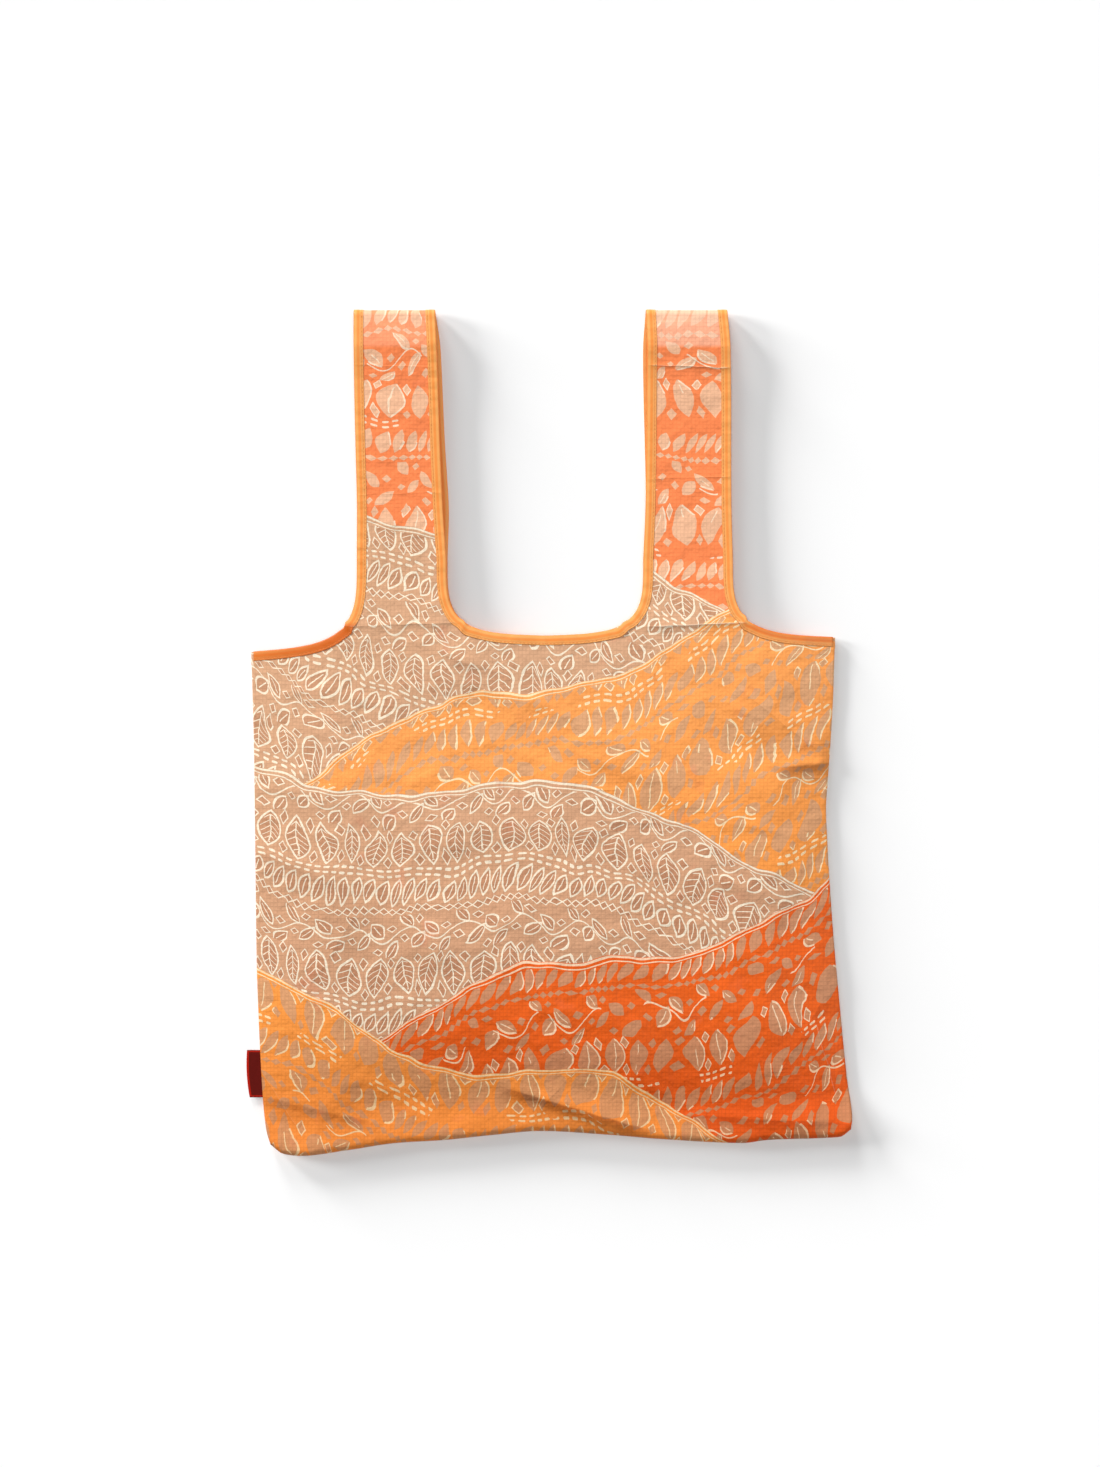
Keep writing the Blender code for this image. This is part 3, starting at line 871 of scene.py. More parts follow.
def new_piece(name: str, points: Array, faces: Array, uv_name: str, uv: Array) -> bpy.types.Object:
    """Makes a smooth mesh object with a UV map from arrays.

    Args:
        name: The piece's name.
        points: Points (count, 3).
        faces: Quads (count, 4).
        uv_name: Name of the UV map.
        uv: UV of each point (count, 2), in metres.

    Returns:
        The object, linked to the scene.
    """
    mesh = bpy.data.meshes.new(name)
    mesh.vertices.add(len(points))
    mesh.vertices.foreach_set("co", points.astype(np.float32).ravel())
    mesh.loops.add(faces.size)
    mesh.loops.foreach_set("vertex_index", faces.astype(np.int32).ravel())
    mesh.polygons.add(len(faces))
    mesh.polygons.foreach_set("loop_start", np.arange(0, faces.size, 4, dtype=np.int32))
    mesh.update(calc_edges=True)
    mesh.polygons.foreach_set("use_smooth", np.ones(len(faces), bool))
    layer = mesh.uv_layers.new(name=uv_name)
    layer.data.foreach_set("uv", uv[faces.ravel()].astype(np.float32).ravel())
    mesh.validate()
    made = bpy.data.objects.new(name, mesh)
    bpy.context.scene.collection.objects.link(made)
    return made


def thicken(made: bpy.types.Object, thickness: float, even: bool) -> None:
    """Gives a sheet its wall, half of it to each side.

    Args:
        made: The sheet.
        thickness: The wall's thickness.
        even: Whether the thickness is kept at bends.
    """
    wall = made.modifiers.new("wall", "SOLIDIFY")
    wall.thickness, wall.offset, wall.use_even_offset = thickness, 0.0, even


@dataclass
class ClothPanel:
    """The front or the back of the bag, one sheet of ripstop with both its half straps."""

    shape: BagShape
    layer: Layer
    step: float = 2.7 * MM
    root_columns: int = 22
    rim_rows: int = 4
    fold_rows: int = 10
    settle: float = 14 * MM
    tape_fold_rows: int = 8
    tape_start: float = 1.9 * MM
    kink_half: float = 1.8 * MM
    kink_push: float = 0.9 * MM
    kink_rise: float = 0.8 * MM
    edges: dict[tuple[Side, Run], BoundEdge] = field(default_factory=dict)
    relief: ClothRelief | None = None

    def __post_init__(self) -> None:
        """Measures the four bound edges."""
        for side in Side:
            for run in Run:
                self.edges[side, run] = BoundEdge(self.shape, side, run, self.layer, self.step)
        self.relief = ClothRelief(self.shape, list(self.edges.values()))

    @property
    def depths(self) -> list[float]:
        """Depths of the rim's rows, from the cloth's raw edge to the body's top row."""
        inset = self.shape.edge_inset
        return list(inset + self.shape.rim_depth * np.linspace(0, 1, self.rim_rows + 1))

    def heights(self, flat: Array, turned: Array | float = 1.0) -> Array:
        """Points in space of flat points of the body, with the relief.

        Args:
            flat: Points (..., 2) of the pattern.
            turned: Share of the seam's turn at each point.

        Returns:
            Points (..., 3).
        """
        z = self.shape.surface(flat, self.layer, turned) + self.relief.lift(flat, self.layer)
        if self.layer is Layer.BACK:
            z = np.maximum(z, self.shape.cloth / 2)
        return np.concatenate([flat, z[..., None]], axis=-1)

    def strap_rows(self) -> tuple[Array, Array]:
        """Works out a strap's rows, evenly up to the fold and then round it.

        Returns:
            The rows' heights in the pattern, and the angle of the fold that each has turned.
        """
        shape = self.shape
        start = shape.apex - shape.fold_radius
        count = round((start - shape.root_height) / self.step)
        straight = np.linspace(shape.root_height, start, count)
        angles = np.linspace(0, np.pi / 2, self.fold_rows)[1:]
        rows = np.append(straight, start + shape.fold_radius * np.sin(angles))
        return rows, np.append(np.zeros(count), angles)

    def over_fold(self, flat: Array, angles: Array) -> Array:
        """Points in space of a strap's flat rows: its surface, then a quarter round over the fold.

        Args:
            flat: Points (rows, columns, 2).
            angles: The fold's angle at each row.

        Returns:
            Points (rows, columns, 3).
        """
        points, middle = self.heights(flat), self.shape.fold_middle
        round_z = middle + self.layer.value * self.shape.fold_radius * np.cos(angles)[:, None]
        from_start = flat[..., 1] - (self.shape.apex - self.settle)
        near = eased(from_start / (self.settle - self.shape.fold_radius))
        start = middle + self.layer.value * self.shape.fold_radius
        settled = points[..., 2] * (1 - near) + start * near
        points[..., 2] = np.where(angles[:, None] > 0, round_z, settled)
        return points

    def body(self) -> tuple[Array, Array, Array]:
        """Coons patch between the bottom edge, the side seams and the row under the bound edges.

        Returns:
            Flat points (rows, columns, 2), and the turn's share of rows and of columns.
        """
        shape, inset = self.shape, self.depths[-1]
        rims = {key: edge.at_length(edge.low, [inset])[0] for key, edge in self.edges.items()}
        left, right = rims[Side.LEFT, Run.OUTER], rims[Side.RIGHT, Run.OUTER][::-1]
        mouth = np.concatenate([rims[Side.LEFT, Run.INNER][:0:-1], rims[Side.RIGHT, Run.INNER]])
        shares = np.linspace(0, 1, self.root_columns + 1)[1:-1, None]
        left_root = left[-1] * (1 - shares) + mouth[0] * shares
        right_root = mouth[-1] * (1 - shares) + right[0] * shares
        top = np.concatenate([left, left_root, mouth, right_root, right])
        quarter = np.linspace(0, np.pi / 2, TURN_STEPS)
        low = float(shape.bottom_y(0.0))
        high = float(top[0, 1])
        turned = low + shape.bottom_radius * (1 - np.cos(quarter))
        count = round((high - turned[-1]) / self.step)
        levels = np.append(turned, np.linspace(turned[-1], high, count)[1:])
        t = (levels - levels[0]) / (levels[-1] - levels[0])
        s = (top[:, 0] - top[0, 0]) / (top[-1, 0] - top[0, 0])
        corner = RIGHT_SIDE[0].height * shape.body_height + shape.cloth / 2
        right_y = corner + (top[-1, 1] - corner) * t
        ends = ((Side.LEFT, levels), (Side.RIGHT, right_y))
        sides = [np.column_stack([shape.side_x(side, y), y]) for side, y in ends]
        sides[0][-1], sides[1][-1] = top[0], top[-1]
        bottom = np.column_stack([sides[0][0, 0] + (sides[1][0, 0] - sides[0][0, 0]) * s, shape.bottom_y(s)])
        bottom[0], bottom[-1] = sides[0][0], sides[1][0]
        s, t = s[None, :, None], t[:, None, None]
        corners = (1 - s) * (1 - t) * bottom[0] + s * (1 - t) * bottom[-1]
        corners = corners + (1 - s) * t * top[0] + s * t * top[-1]
        grid = (1 - t) * bottom[None] + t * top[None]
        grid = grid + (1 - s) * sides[0][:, None] + s * sides[1][:, None] - corners
        columns = np.ones(grid.shape[1])
        columns[:TURN_STEPS], columns[-TURN_STEPS:] = np.sin(quarter), np.sin(quarter)[::-1]
        rows = np.ones(grid.shape[0])
        rows[:TURN_STEPS] = np.sin(quarter)
        return grid, rows, columns

    def patches(self) -> list[tuple[Array, Array]]:
        """Grids that share their borders: body, rims under the tapes, and straps.

        Returns:
            For each patch its points in space and its flat points, row by row.
        """
        grid, rows, columns = self.body()
        made = [(self.heights(grid, np.minimum(rows[:, None], columns[None])), grid)]
        for (side, run), edge in self.edges.items():
            rim = edge.at_length(edge.low, self.depths[::-1])
            turned = np.ones(rim.shape[:2])
            if run is Run.OUTER:
                turned[:, :TURN_STEPS] = np.sin(np.linspace(0, np.pi / 2, TURN_STEPS))
            rim, turned = (rim, turned) if side.value * run.value < 0 else (rim[:, ::-1], turned[:, ::-1])
            made.append((self.heights(rim, turned), rim))
        heights, angles = self.strap_rows()
        for side in Side:
            outer, inner = (self.edges[side, run] for run in (Run.OUTER, Run.INNER))
            first = outer.at_length(outer.strap_lengths(heights), self.depths)
            last = inner.at_length(inner.strap_lengths(heights), self.depths)
            shares = np.linspace(0, 1, self.root_columns + 1)[1:-1, None, None]
            between = first[-1] * (1 - shares) + last[-1] * shares
            strap = np.concatenate([first, between, last[::-1]]).swapaxes(0, 1)
            strap = strap if side is Side.LEFT else strap[:, ::-1]
            made.append((self.over_fold(strap, angles), strap))
        return made

    def flat_area(self, patches: Sequence[tuple[Array, Array]]) -> float:
        """Area of the cut cloth: half the cross product of each flat quad's diagonals, summed.

        Args:
            patches: For each patch its points in space and its flat points.

        Returns:
            The area in square metres.
        """
        total = 0.0
        for _, flat in patches:
            one, two = flat[1:, 1:] - flat[:-1, :-1], flat[1:, :-1] - flat[:-1, 1:]
            total += float(np.abs(one[..., 0] * two[..., 1] - one[..., 1] * two[..., 0]).sum()) / 2
        return total

    def build(self, name: str, shift: Array) -> tuple[bpy.types.Object, float]:
        """Joins the patches into one sheet with the cloth's thickness.

        Args:
            name: The piece's name.
            shift: From the pattern's origin to the frame's.

        Returns:
            The piece and its flat area.
        """
        patches = self.patches()
        points, flats, faces, first = [], [], [], 0
        for space, flat in patches:
            faces.append(grid_faces(space.shape[0], space.shape[1], first, self.layer is Layer.BACK))
            points.append(space.reshape(-1, 3))
            flats.append(flat.reshape(-1, 2))
            first += len(points[-1])
        merged, pattern, quads = weld(np.concatenate(points), np.concatenate(flats), np.concatenate(faces))
        made = new_piece(name, merged + shift, quads, "Cloth", pattern)
        thicken(made, self.shape.cloth, even=True)
        return made, self.flat_area(patches)

    def edge_run(self, side: Side, run: Run, step: float) -> Array:
        """Edge points and inset points in space along a bound edge, up to the fold's middle.

        Args:
            side: Left or right.
            run: Outer or inner.
            step: Distance between stations.

        Returns:
            Points (2, stations, 3).
        """
        edge, shape = self.edges[side, run], self.shape
        start = self.tape_start if run is Run.OUTER else 0.0
        top = float(edge.strap_lengths(np.array([shape.apex - shape.fold_radius]))[0])
        straight = np.linspace(start, top, round((top - start) / step))
        angles = np.linspace(0, np.pi / 2, self.tape_fold_rows)[1:]
        rows = shape.apex - shape.fold_radius + shape.fold_radius * np.sin(angles)
        lengths = np.append(straight, edge.strap_lengths(rows))
        turned = np.append(np.zeros(len(straight)), angles)
        flat = edge.at_length(lengths, [shape.edge_inset, shape.edge_inset + shape.rim_depth])
        points = self.over_fold(flat.swapaxes(0, 1), turned).swapaxes(0, 1)
        for kink in KINKS:
            if self.layer is Layer.FRONT and (kink.side, kink.run) == (side, run):
                away = (flat[0, :, 1] - kink.height * MM) / self.kink_half
                push = self.kink_push * away * np.exp(0.5 - away**2 / 2)
                points[:, :, :2] -= push[None, :, None] * unit(flat[1] - flat[0])[None]
                points[:, :, 2] += self.kink_rise * np.exp(-np.abs(away))
        return points


@dataclass
class TapeRun:
    """A bias tape folded over a bound edge, with its line of stitches."""

    edge: Array
    inset: Array
    closed: bool
    width: float = 8.0 * MM
    half: float = 0.66 * MM
    inner_half: float = 0.26 * MM
    nose: float = 0.5 * MM
    stitch_depth: float = 6.1 * MM
    stitch_pitch: float = 3.1 * MM
    stitch_length: float = 2.5 * MM
    thread: float = 0.21 * MM
    sunk: float = 0.80

    def __post_init__(self) -> None:
        """Works out the frame that the tape's section is carried along."""
        self.inward = unit(self.inset - self.edge)
        ahead = np.roll(self.edge, -1, axis=0) - self.edge
        if not self.closed:
            ahead[-1] = ahead[-2]
        behind = np.roll(ahead, 1, axis=0)
        if not self.closed:
            behind[0] = ahead[0]
        onward = unit(ahead) + unit(behind)
        onward = unit(onward - (onward * self.inward).sum(1, keepdims=True) * self.inward)
        self.normal = unit(np.cross(self.inward, onward))
        self.normal *= np.sign(self.normal[0, 2])
        steps = np.linalg.norm(ahead if self.closed else ahead[:-1], axis=1)
        self.length = np.append(0.0, np.cumsum(steps))

    def section(self) -> Array:
        """The folded tape's outline: a flat hairpin with a round nose, thinner along its stitches.

        Returns:
            Points (count, 2): depth in from the cloth's raw edge, and height.
        """
        end, seam = self.width - self.nose, self.stitch_depth
        upper = [(end, 0.55), (end - 0.12 * MM, 0.9), (end - 0.6 * MM, 1.0), (seam + 0.5 * MM, 0.96)]
        upper += [(seam, 0.78), (seam - 0.7 * MM, 0.98), (3.6 * MM, 1.12)]
        upper += [(1.8 * MM, 1.15), (0.6 * MM, 1.06)]
        upper = [(depth, height * self.half) for depth, height in upper]
        upper += [(-self.nose + self.half * (1 - math.sin(a)), self.half * math.cos(a)) for a in (0.5, 1.1)]
        lower = [(depth, -height) for depth, height in reversed(upper)]
        inner = [(end, -self.inner_half), (0.3 * MM, -self.inner_half), (-0.12 * MM, 0.0)]
        inner += [(0.3 * MM, self.inner_half), (end, self.inner_half)]
        return np.array(upper + [(-self.nose, 0.0)] + lower + inner)

    def build(self, name: str, shift: Array) -> bpy.types.Object:
        """Carries the section along the edge: edge + depth * inward + height * normal.

        Args:
            name: The piece's name.
            shift: From the pattern's origin to the frame's.

        Returns:
            The tape's object.
        """
        section = self.section()
        s = self.length[: len(self.edge)]
        ripple = 1 + 0.10 * rolling(s, s * 0, 0.006, 61) + 0.08 * rolling(s, s * 0, 0.021, 62)
        depth = section[:, 0][None, :, None] * (1 + 0.012 * rolling(s, s * 0, 0.03, 63))[:, None, None]
        height = section[:, 1][None, :, None] * ripple[:, None, None]
        rings = self.edge[:, None] + depth * self.inward[:, None] + height * self.normal[:, None]
        count, sides = rings.shape[:2]
        around = np.append(0.0, np.cumsum(np.hypot(*np.diff(section, axis=0).T)))
        around = around - around[int(np.argmin(section[:, 0]))]
        uv = np.stack(np.broadcast_arrays(self.length[:count, None], around[None]), axis=-1)
        rows = np.append(np.arange(count), 0) if self.closed else np.arange(count)
        at = rows[:, None] * sides + np.append(np.arange(sides), 0)[None]
        made = new_piece(name, rings.reshape(-1, 3) + shift, quads_between(at), "Tape", uv.reshape(-1, 2))
        tidy_faces(made, close=not self.closed)
        return made

    def stitches(self, name: str, shift: Array) -> bpy.types.Object:
        """A line of short sunk threads on both sides of the tape, each a rounded bar of six sides.

        Args:
            name: The piece's name.
            shift: From the pattern's origin to the frame's.

        Returns:
            The stitches' object.
        """
        total = float(self.length[-1])
        count = int(total / self.stitch_pitch)
        middles = (np.arange(count) + 0.5) * total / count
        along, girth, lift = np.array(STITCH).T
        turn = np.linspace(0, 2 * np.pi, THREAD_SIDES, endpoint=False)
        s = middles[:, None] + along[None] * self.stitch_length
        edge, inward, normal = (self.read(part, s) for part in (self.edge, self.inward, self.normal))
        inward, normal = unit(inward), unit(normal)
        pieces, faces, uvs = [], [], []
        for sign in (1, -1):
            height = sign * (self.sunk * self.half + self.thread * lift)[None, :, None]
            centre = edge + self.stitch_depth * inward + height * normal
            round_in, round_up = np.cos(turn)[None, None, :, None], np.sin(turn)[None, None, :, None]
            out = round_in * inward[:, :, None] + round_up * normal[:, :, None]
            ring = centre[:, :, None] + (self.thread * girth)[None, :, None, None] * out
            base = sum(len(piece) for piece in pieces)
            at = base + np.arange(ring[..., 0].size).reshape(ring.shape[:3])
            at = np.concatenate([at, at[:, :, :1]], axis=2)
            caps = [at[:, end, halves] for end in (0, -1) for halves in ([0, 1, 2, 3], [0, 3, 4, 5])]
            faces += [quads_between(at)] + caps
            pieces.append(ring.reshape(-1, 3))
            uv = np.broadcast_arrays(s[:, :, None], turn * self.thread)
            uvs.append(np.stack(uv, axis=-1).reshape(-1, 2))
        points = np.concatenate(pieces) + shift
        made = new_piece(name, points, np.concatenate(faces), "Tape", np.concatenate(uvs))
        tidy_faces(made, close=False)
        return made

    def read(self, values: Array, s: Array) -> Array:
        """Values of the stations at lengths along the tape, each part interpolated."""
        wrapped = np.concatenate([values, values[:1]]) if self.closed else values
        return np.stack([np.interp(s, self.length, part) for part in wrapped.T], axis=-1)


def tidy_faces(made: bpy.types.Object, close: bool) -> None:
    """Closes open ends if asked, and turns all faces outwards.

    Args:
        made: A closed piece, or one with two open ends.
        close: Whether to fill the open ends.
    """
    work = bmesh.new()
    work.from_mesh(made.data)
    if close:
        bmesh.ops.holes_fill(work, edges=[edge for edge in work.edges if edge.is_boundary], sides=0)
    bmesh.ops.recalc_face_normals(work, faces=work.faces)
    work.to_mesh(made.data)
    work.free()


@dataclass
class SideLabel:
    """A woven label folded into a loop, its ends sewn into the left seam."""

    shape: BagShape
    length: float = 39 * MM
    reach: float = 12 * MM
    tuck: float = 5 * MM
    thickness: float = 0.34 * MM
    bottom: float = 48 * MM
    bow: float = 1.2 * MM
    fold: float = 0.36 * MM
    ripple: float = 0.16 * MM
    rows: int = 40
    leaf_columns: int = 16
    fold_columns: int = 13

    def build(self, name: str, shift: Array) -> bpy.types.Object:
        """Hairpin section carried along the seam: two layers joined by a half round at the reach.

        Args:
            name: The piece's name.
            shift: From the pattern's origin to the frame's.

        Returns:
            The label's object.
        """
        share = np.linspace(0, 1, self.rows)
        y = self.bottom + self.length * share
        seam = self.shape.side_x(Side.LEFT, y)
        bow = self.bow * (1 - (2 * share - 1) ** 2)
        outer = seam - self.reach + self.bow - bow + self.fold
        angles = np.linspace(np.pi / 2, -np.pi / 2, self.fold_columns)[1:-1]
        leaf = outer[:, None] + (seam + self.tuck - outer)[:, None] * np.linspace(1, 0, self.leaf_columns)
        x = np.concatenate([leaf, outer[:, None] - self.fold * np.cos(angles), leaf[:, ::-1]], axis=1)
        flat = np.full(self.leaf_columns, self.fold)
        z = np.concatenate([flat, self.fold * np.sin(angles), -flat])
        place = y[:, None] + 0 * x
        above = eased((seam[:, None] - x) / (3 * MM)) * np.sign(z)
        height = self.shape.cloth / 2 + self.shape.side_radius + z
        height = height + np.abs(self.ripple * rolling(x, place, 0.009, 81)) * above
        points = np.stack([x, place, height], axis=-1)
        steps = np.hypot(np.diff(x[self.rows // 2]), np.diff(z))
        along = np.append(0.0, np.cumsum(steps))
        uv = np.stack(np.broadcast_arrays(along[None] - along[-1] / 2, (y - y.mean())[:, None]), axis=-1)
        faces = grid_faces(points.shape[0], points.shape[1])
        made = new_piece(name, points.reshape(-1, 3) + shift, faces, "Label", uv.reshape(-1, 2))
        thicken(made, self.thickness, even=False)
        return made


def linear(red: float, green: float, blue: float) -> Color:
    """Linear colour of an sRGB one given from 0 to 255."""
    parts = [value / 255 for value in (red, green, blue)]
    return tuple(value / 12.92 if value <= 0.04045 else ((value + 0.055) / 1.055) ** 2.4 for value in parts)


class Strand:
    """A shader socket's value, on which Python's operators add Math nodes."""

    def __init__(self, tree: "ShaderTree", socket: bpy.types.NodeSocket) -> None:
        """Wraps a socket of a tree."""
        self.tree, self.socket = tree, socket

    def math(self, operation: str, *others: "Strand | float") -> "Strand":
        """One Math node on this value and the others.

        Args:
            operation: The node's operation.
            others: The values of its later sockets.

        Returns:
            The node's value.
        """
        inputs = dict(enumerate((self, *others)))
        return self.tree.node("Math", {"operation": operation}, inputs)

    def __add__(self, other: "Strand | float") -> "Strand":
        """Sum."""
        return self.math("ADD", other)

    __radd__ = __add__

    def __mul__(self, other: "Strand | float") -> "Strand":
        """Product."""
        return self.math("MULTIPLY", other)

    __rmul__ = __mul__

    def __sub__(self, other: "Strand | float") -> "Strand":
        """Difference."""
        return self.math("SUBTRACT", other)

    def __rsub__(self, other: float) -> "Strand":
        """Difference from a number."""
        return self.tree.number(other).math("SUBTRACT", self)

    def __truediv__(self, other: "Strand | float") -> "Strand":
        """Quotient."""
        return self.math("DIVIDE", other)

    def __rtruediv__(self, other: float) -> "Strand":
        """Quotient of a number."""
        return self.tree.number(other).math("DIVIDE", self)

    def __pow__(self, other: float) -> "Strand":
        """Power."""
        return self.math("POWER", other)

    def __neg__(self) -> "Strand":
        """Opposite."""
        return self.math("MULTIPLY", -1.0)

    def __abs__(self) -> "Strand":
        """Size without sign."""
        return self.math("ABSOLUTE")

    def __gt__(self, other: "Strand | float") -> "Strand":
        """1 where this is greater."""
        return self.math("GREATER_THAN", other)

    def __lt__(self, other: "Strand | float") -> "Strand":
        """1 where this is less."""
        return self.math("LESS_THAN", other)

    def __or__(self, other: "Strand | float") -> "Strand":
        """The greater one, which joins two masks."""
        return self.math("MAXIMUM", other)

    __ror__ = __or__

    def fract(self) -> "Strand":
        """What is past the whole number."""
        return self.math("FRACT")

    def ramp(self, start: float, end: float) -> "Strand":
        """Eases from 0 at start to 1 at end."""
        settings = {"interpolation_type": "SMOOTHSTEP"}
        return self.tree.node("MapRange", settings, {0: self, 1: start, 2: end, 3: 0.0, 4: 1.0})


class ShaderTree:
    """Builds one material's nodes from expressions."""

    def __init__(self, name: str) -> None:
        """Starts an empty material with a Principled shader."""
        self.material = bpy.data.materials.new(name)
        self.material.use_nodes = True
        self.nodes, self.links = self.material.node_tree.nodes, self.material.node_tree.links
        self.shader = self.nodes["Principled BSDF"]

    def feed(self, socket: bpy.types.NodeSocket, value: "Strand | float | Sequence[float]") -> None:
        """Links a value to a socket, or sets the socket's own.

        Args:
            socket: The socket.
            value: A strand, a number, a colour or a vector.
        """
        if isinstance(value, Strand):
            self.links.new(value.socket, socket)
        elif socket.type == "RGBA" and len(value) == 3:
            socket.default_value = (*value, 1.0)
        else:
            socket.default_value = value

    def node(self, kind: str, settings: Mapping[str, object] | None = None,
             inputs: Mapping[int | str, object] | None = None, output: int | str = 0) -> Strand:
        """Adds any node.

        Args:
            kind: The node's type without its ShaderNode prefix.
            settings: Its settings, set first.
            inputs: Values or links of its sockets by name or number.
            output: The output that is returned.

        Returns:
            The output's value.
        """
        made = self.nodes.new("ShaderNode" + kind)
        for name, value in (settings or {}).items():
            setattr(made, name, value)
        for name, value in (inputs or {}).items():
            self.feed(made.inputs[name], value)
        return Strand(self, made.outputs[output])

    def number(self, value: float) -> Strand:
        """A number as a value, for operators that have it on their left."""
        return self.node("Math", {"operation": "ADD"}, {0: float(value), 1: 0.0})

    def mix(self, share: Strand | float, first: object, second: object) -> Strand:
        """Colour between two colours by a share."""
        return self.node("Mix", {"data_type": "RGBA"}, {0: share, 6: first, 7: second}, 2)

    def blend(self, share: Strand, first: object, second: object, way: str) -> Strand:
        """Colour of two colours by one of the Mix node's ways of blending."""
        return self.node("Mix", {"data_type": "RGBA", "blend_type": way}, {0: share, 6: first, 7: second}, 2)

    def point(self, x: Strand | float, y: Strand | float, z: Strand | float = 0.0) -> Strand:
        """A vector of three values."""
        return self.node("CombineXYZ", None, {0: x, 1: y, 2: z})

    def dot(self, place: Strand, axis: Sequence[float]) -> Strand:
        """How far a place is along an axis: the dot product of the two."""
        inputs = {0: place, 1: tuple(axis)}
        return self.node("VectorMath", {"operation": "DOT_PRODUCT"}, inputs, "Value")

    def noise(self, place: Strand, scale: float, detail: float = 2.0, rough: float = 0.5) -> Strand:
        """Noise from 0 to 1 at a place."""
        inputs = {"Vector": place, "Scale": scale, "Detail": detail, "Roughness": rough}
        return self.node("TexNoise", {"noise_dimensions": "3D"}, inputs)

    def chance(self, place: Strand) -> Strand:
        """A random value from 0 to 1 for each place."""
        return self.node("TexWhiteNoise", {"noise_dimensions": "3D"}, {"Vector": place})

    def uv(self, name: str) -> tuple[Strand, Strand]:
        """The two parts of a UV map in millimetres."""
        place = self.node("UVMap", {"uv_map": name})
        scaled = self.node("VectorMath", {"operation": "SCALE"}, {0: place, 3: 1000.0})
        return self.dot(scaled, (1.0, 0.0, 0.0)), self.dot(scaled, (0.0, 1.0, 0.0))

    def finish(self, color: object, roughness: object, height: Strand | None = None,
               **constants: float) -> bpy.types.Material:
        """Feeds the Principled shader.

        Args:
            color: Base colour.
            roughness: Roughness.
            height: Height for the Bump node, in millimetres.
            constants: Values set on the shader's own sockets, with _ for spaces.

        Returns:
            The finished material.
        """
        self.feed(self.shader.inputs["Base Color"], color)
        self.feed(self.shader.inputs["Roughness"], roughness)
        for name, value in constants.items():
            self.shader.inputs[name.replace("_", " ")].default_value = value
        if height is not None:
            inputs = {"Strength": 1.0, "Distance": MM, "Height": height}
            self.feed(self.shader.inputs["Normal"], self.node("Bump", None, inputs))
        return self.material


def pressed(tree: ShaderTree, x: Strand, y: Strand, creases: Sequence[Crease],
            below_only: bool = False) -> Strand:
    """Sum of wandering lines: each rise * exp(-|distance| / half width), fading at its ends.

    Args:
        tree: The material's tree.
        x: Place across the pattern, in millimetres.
        y: Place along the pattern.
        creases: The lines.
        below_only: Keeps only the side below each line, to the right of its way.

    Returns:
        The sum at each place.
    """
    place = tree.point(x, y)
    moved_x = x + tree.noise(place, 0.035, 1.0) * 4.0 - 2.0
    moved = tree.point(moved_x, y + tree.noise(place, 0.05, 1.0) * 3.0 - 1.5)
    total = tree.number(0.0)
    for crease in creases:
        start = np.array([crease.start_x, crease.start_y])
        way = np.array([crease.end_x, crease.end_y]) - start
        length = float(np.hypot(*way))
        onward, across = way / length**2, np.array([-way[1], way[0]]) / (length * crease.half_width)
        share, away = (
            tree.dot(moved, (*part.tolist(), 0.0)) - float(start @ part) for part in (onward, across)
        )
        ridge = (-abs(away)).math("EXPONENT") * share.ramp(0.0, 0.2) * share.ramp(1.0, 0.8)
        total = total + (ridge * away.ramp(0.15, -0.15) if below_only else ridge) * crease.rise
    return total


@dataclass(frozen=True)
class Tone:
    """Inks of one band of the print: ground, filled shapes, lines, and the share of lines kept."""

    ground: Color
    fill: Color
    line: Color
    lines: float


CREAM = linear(255, 240, 214)
SAND = Tone(linear(214, 161, 124), linear(197, 140, 105), CREAM, 1.0)
AMBER = Tone(linear(255, 158, 72), linear(222, 160, 112), linear(255, 228, 182), 0.45)
EMBER = Tone(linear(242, 101, 26), linear(212, 146, 106), linear(255, 222, 186), 0.40)
BLUSH = Tone(linear(255, 127, 62), linear(243, 184, 146), linear(255, 226, 196), 0.35)


@dataclass(frozen=True)
class Hill:
    """A band of the print under the edge height + slope * x + swell * sin(x / length + phase), in mm."""

    height: float
    slope: float
    swell: float
    length: float
    phase: float
    tone: Tone
    start: float


HILLS = (
    Hill(66, -0.30, 16, 46, 0.4, AMBER, 0),
    Hill(146, 0.36, 20, 60, 2.2, EMBER, 40),
    Hill(288, -0.22, 24, 70, 1.1, SAND, 76),
    Hill(392, 0.40, 18, 52, 3.4, AMBER, 20),
    Hill(498, -0.34, 18, 58, 0.6, SAND, 8),
    Hill(900, 0.0, 0, 50, 0.0, BLUSH, 52),
)


class Motif(Enum):
    """The rows of the print, by what they hold."""

    LEAVES = "leaves"
    DASHES = "dashes"
    SPRIGS = "sprigs"
    DIAMONDS = "diamonds"
    VINE = "vine"


@dataclass(frozen=True)
class Row:
    """A row of the print: what it holds, where it starts in the cycle, its height and its pitch, in mm."""

    motif: Motif
    start: float
    height: float
    pitch: float


ROWS = (
    Row(Motif.LEAVES, 0, 33, 22),
    Row(Motif.DASHES, 33, 9, 7.5),
    Row(Motif.SPRIGS, 42, 20, 10.5),
    Row(Motif.DIAMONDS, 62, 8, 7.6),
    Row(Motif.VINE, 70, 34, 46),
)
CYCLE = float(sum(row.height for row in ROWS))


class Leaf(NamedTuple):
    """A leaf of the print: half its length, half its width, that width's spread, and its rib, in mm."""

    length: float
    width: float
    spread: float
    rib: float
    rib_reach: float


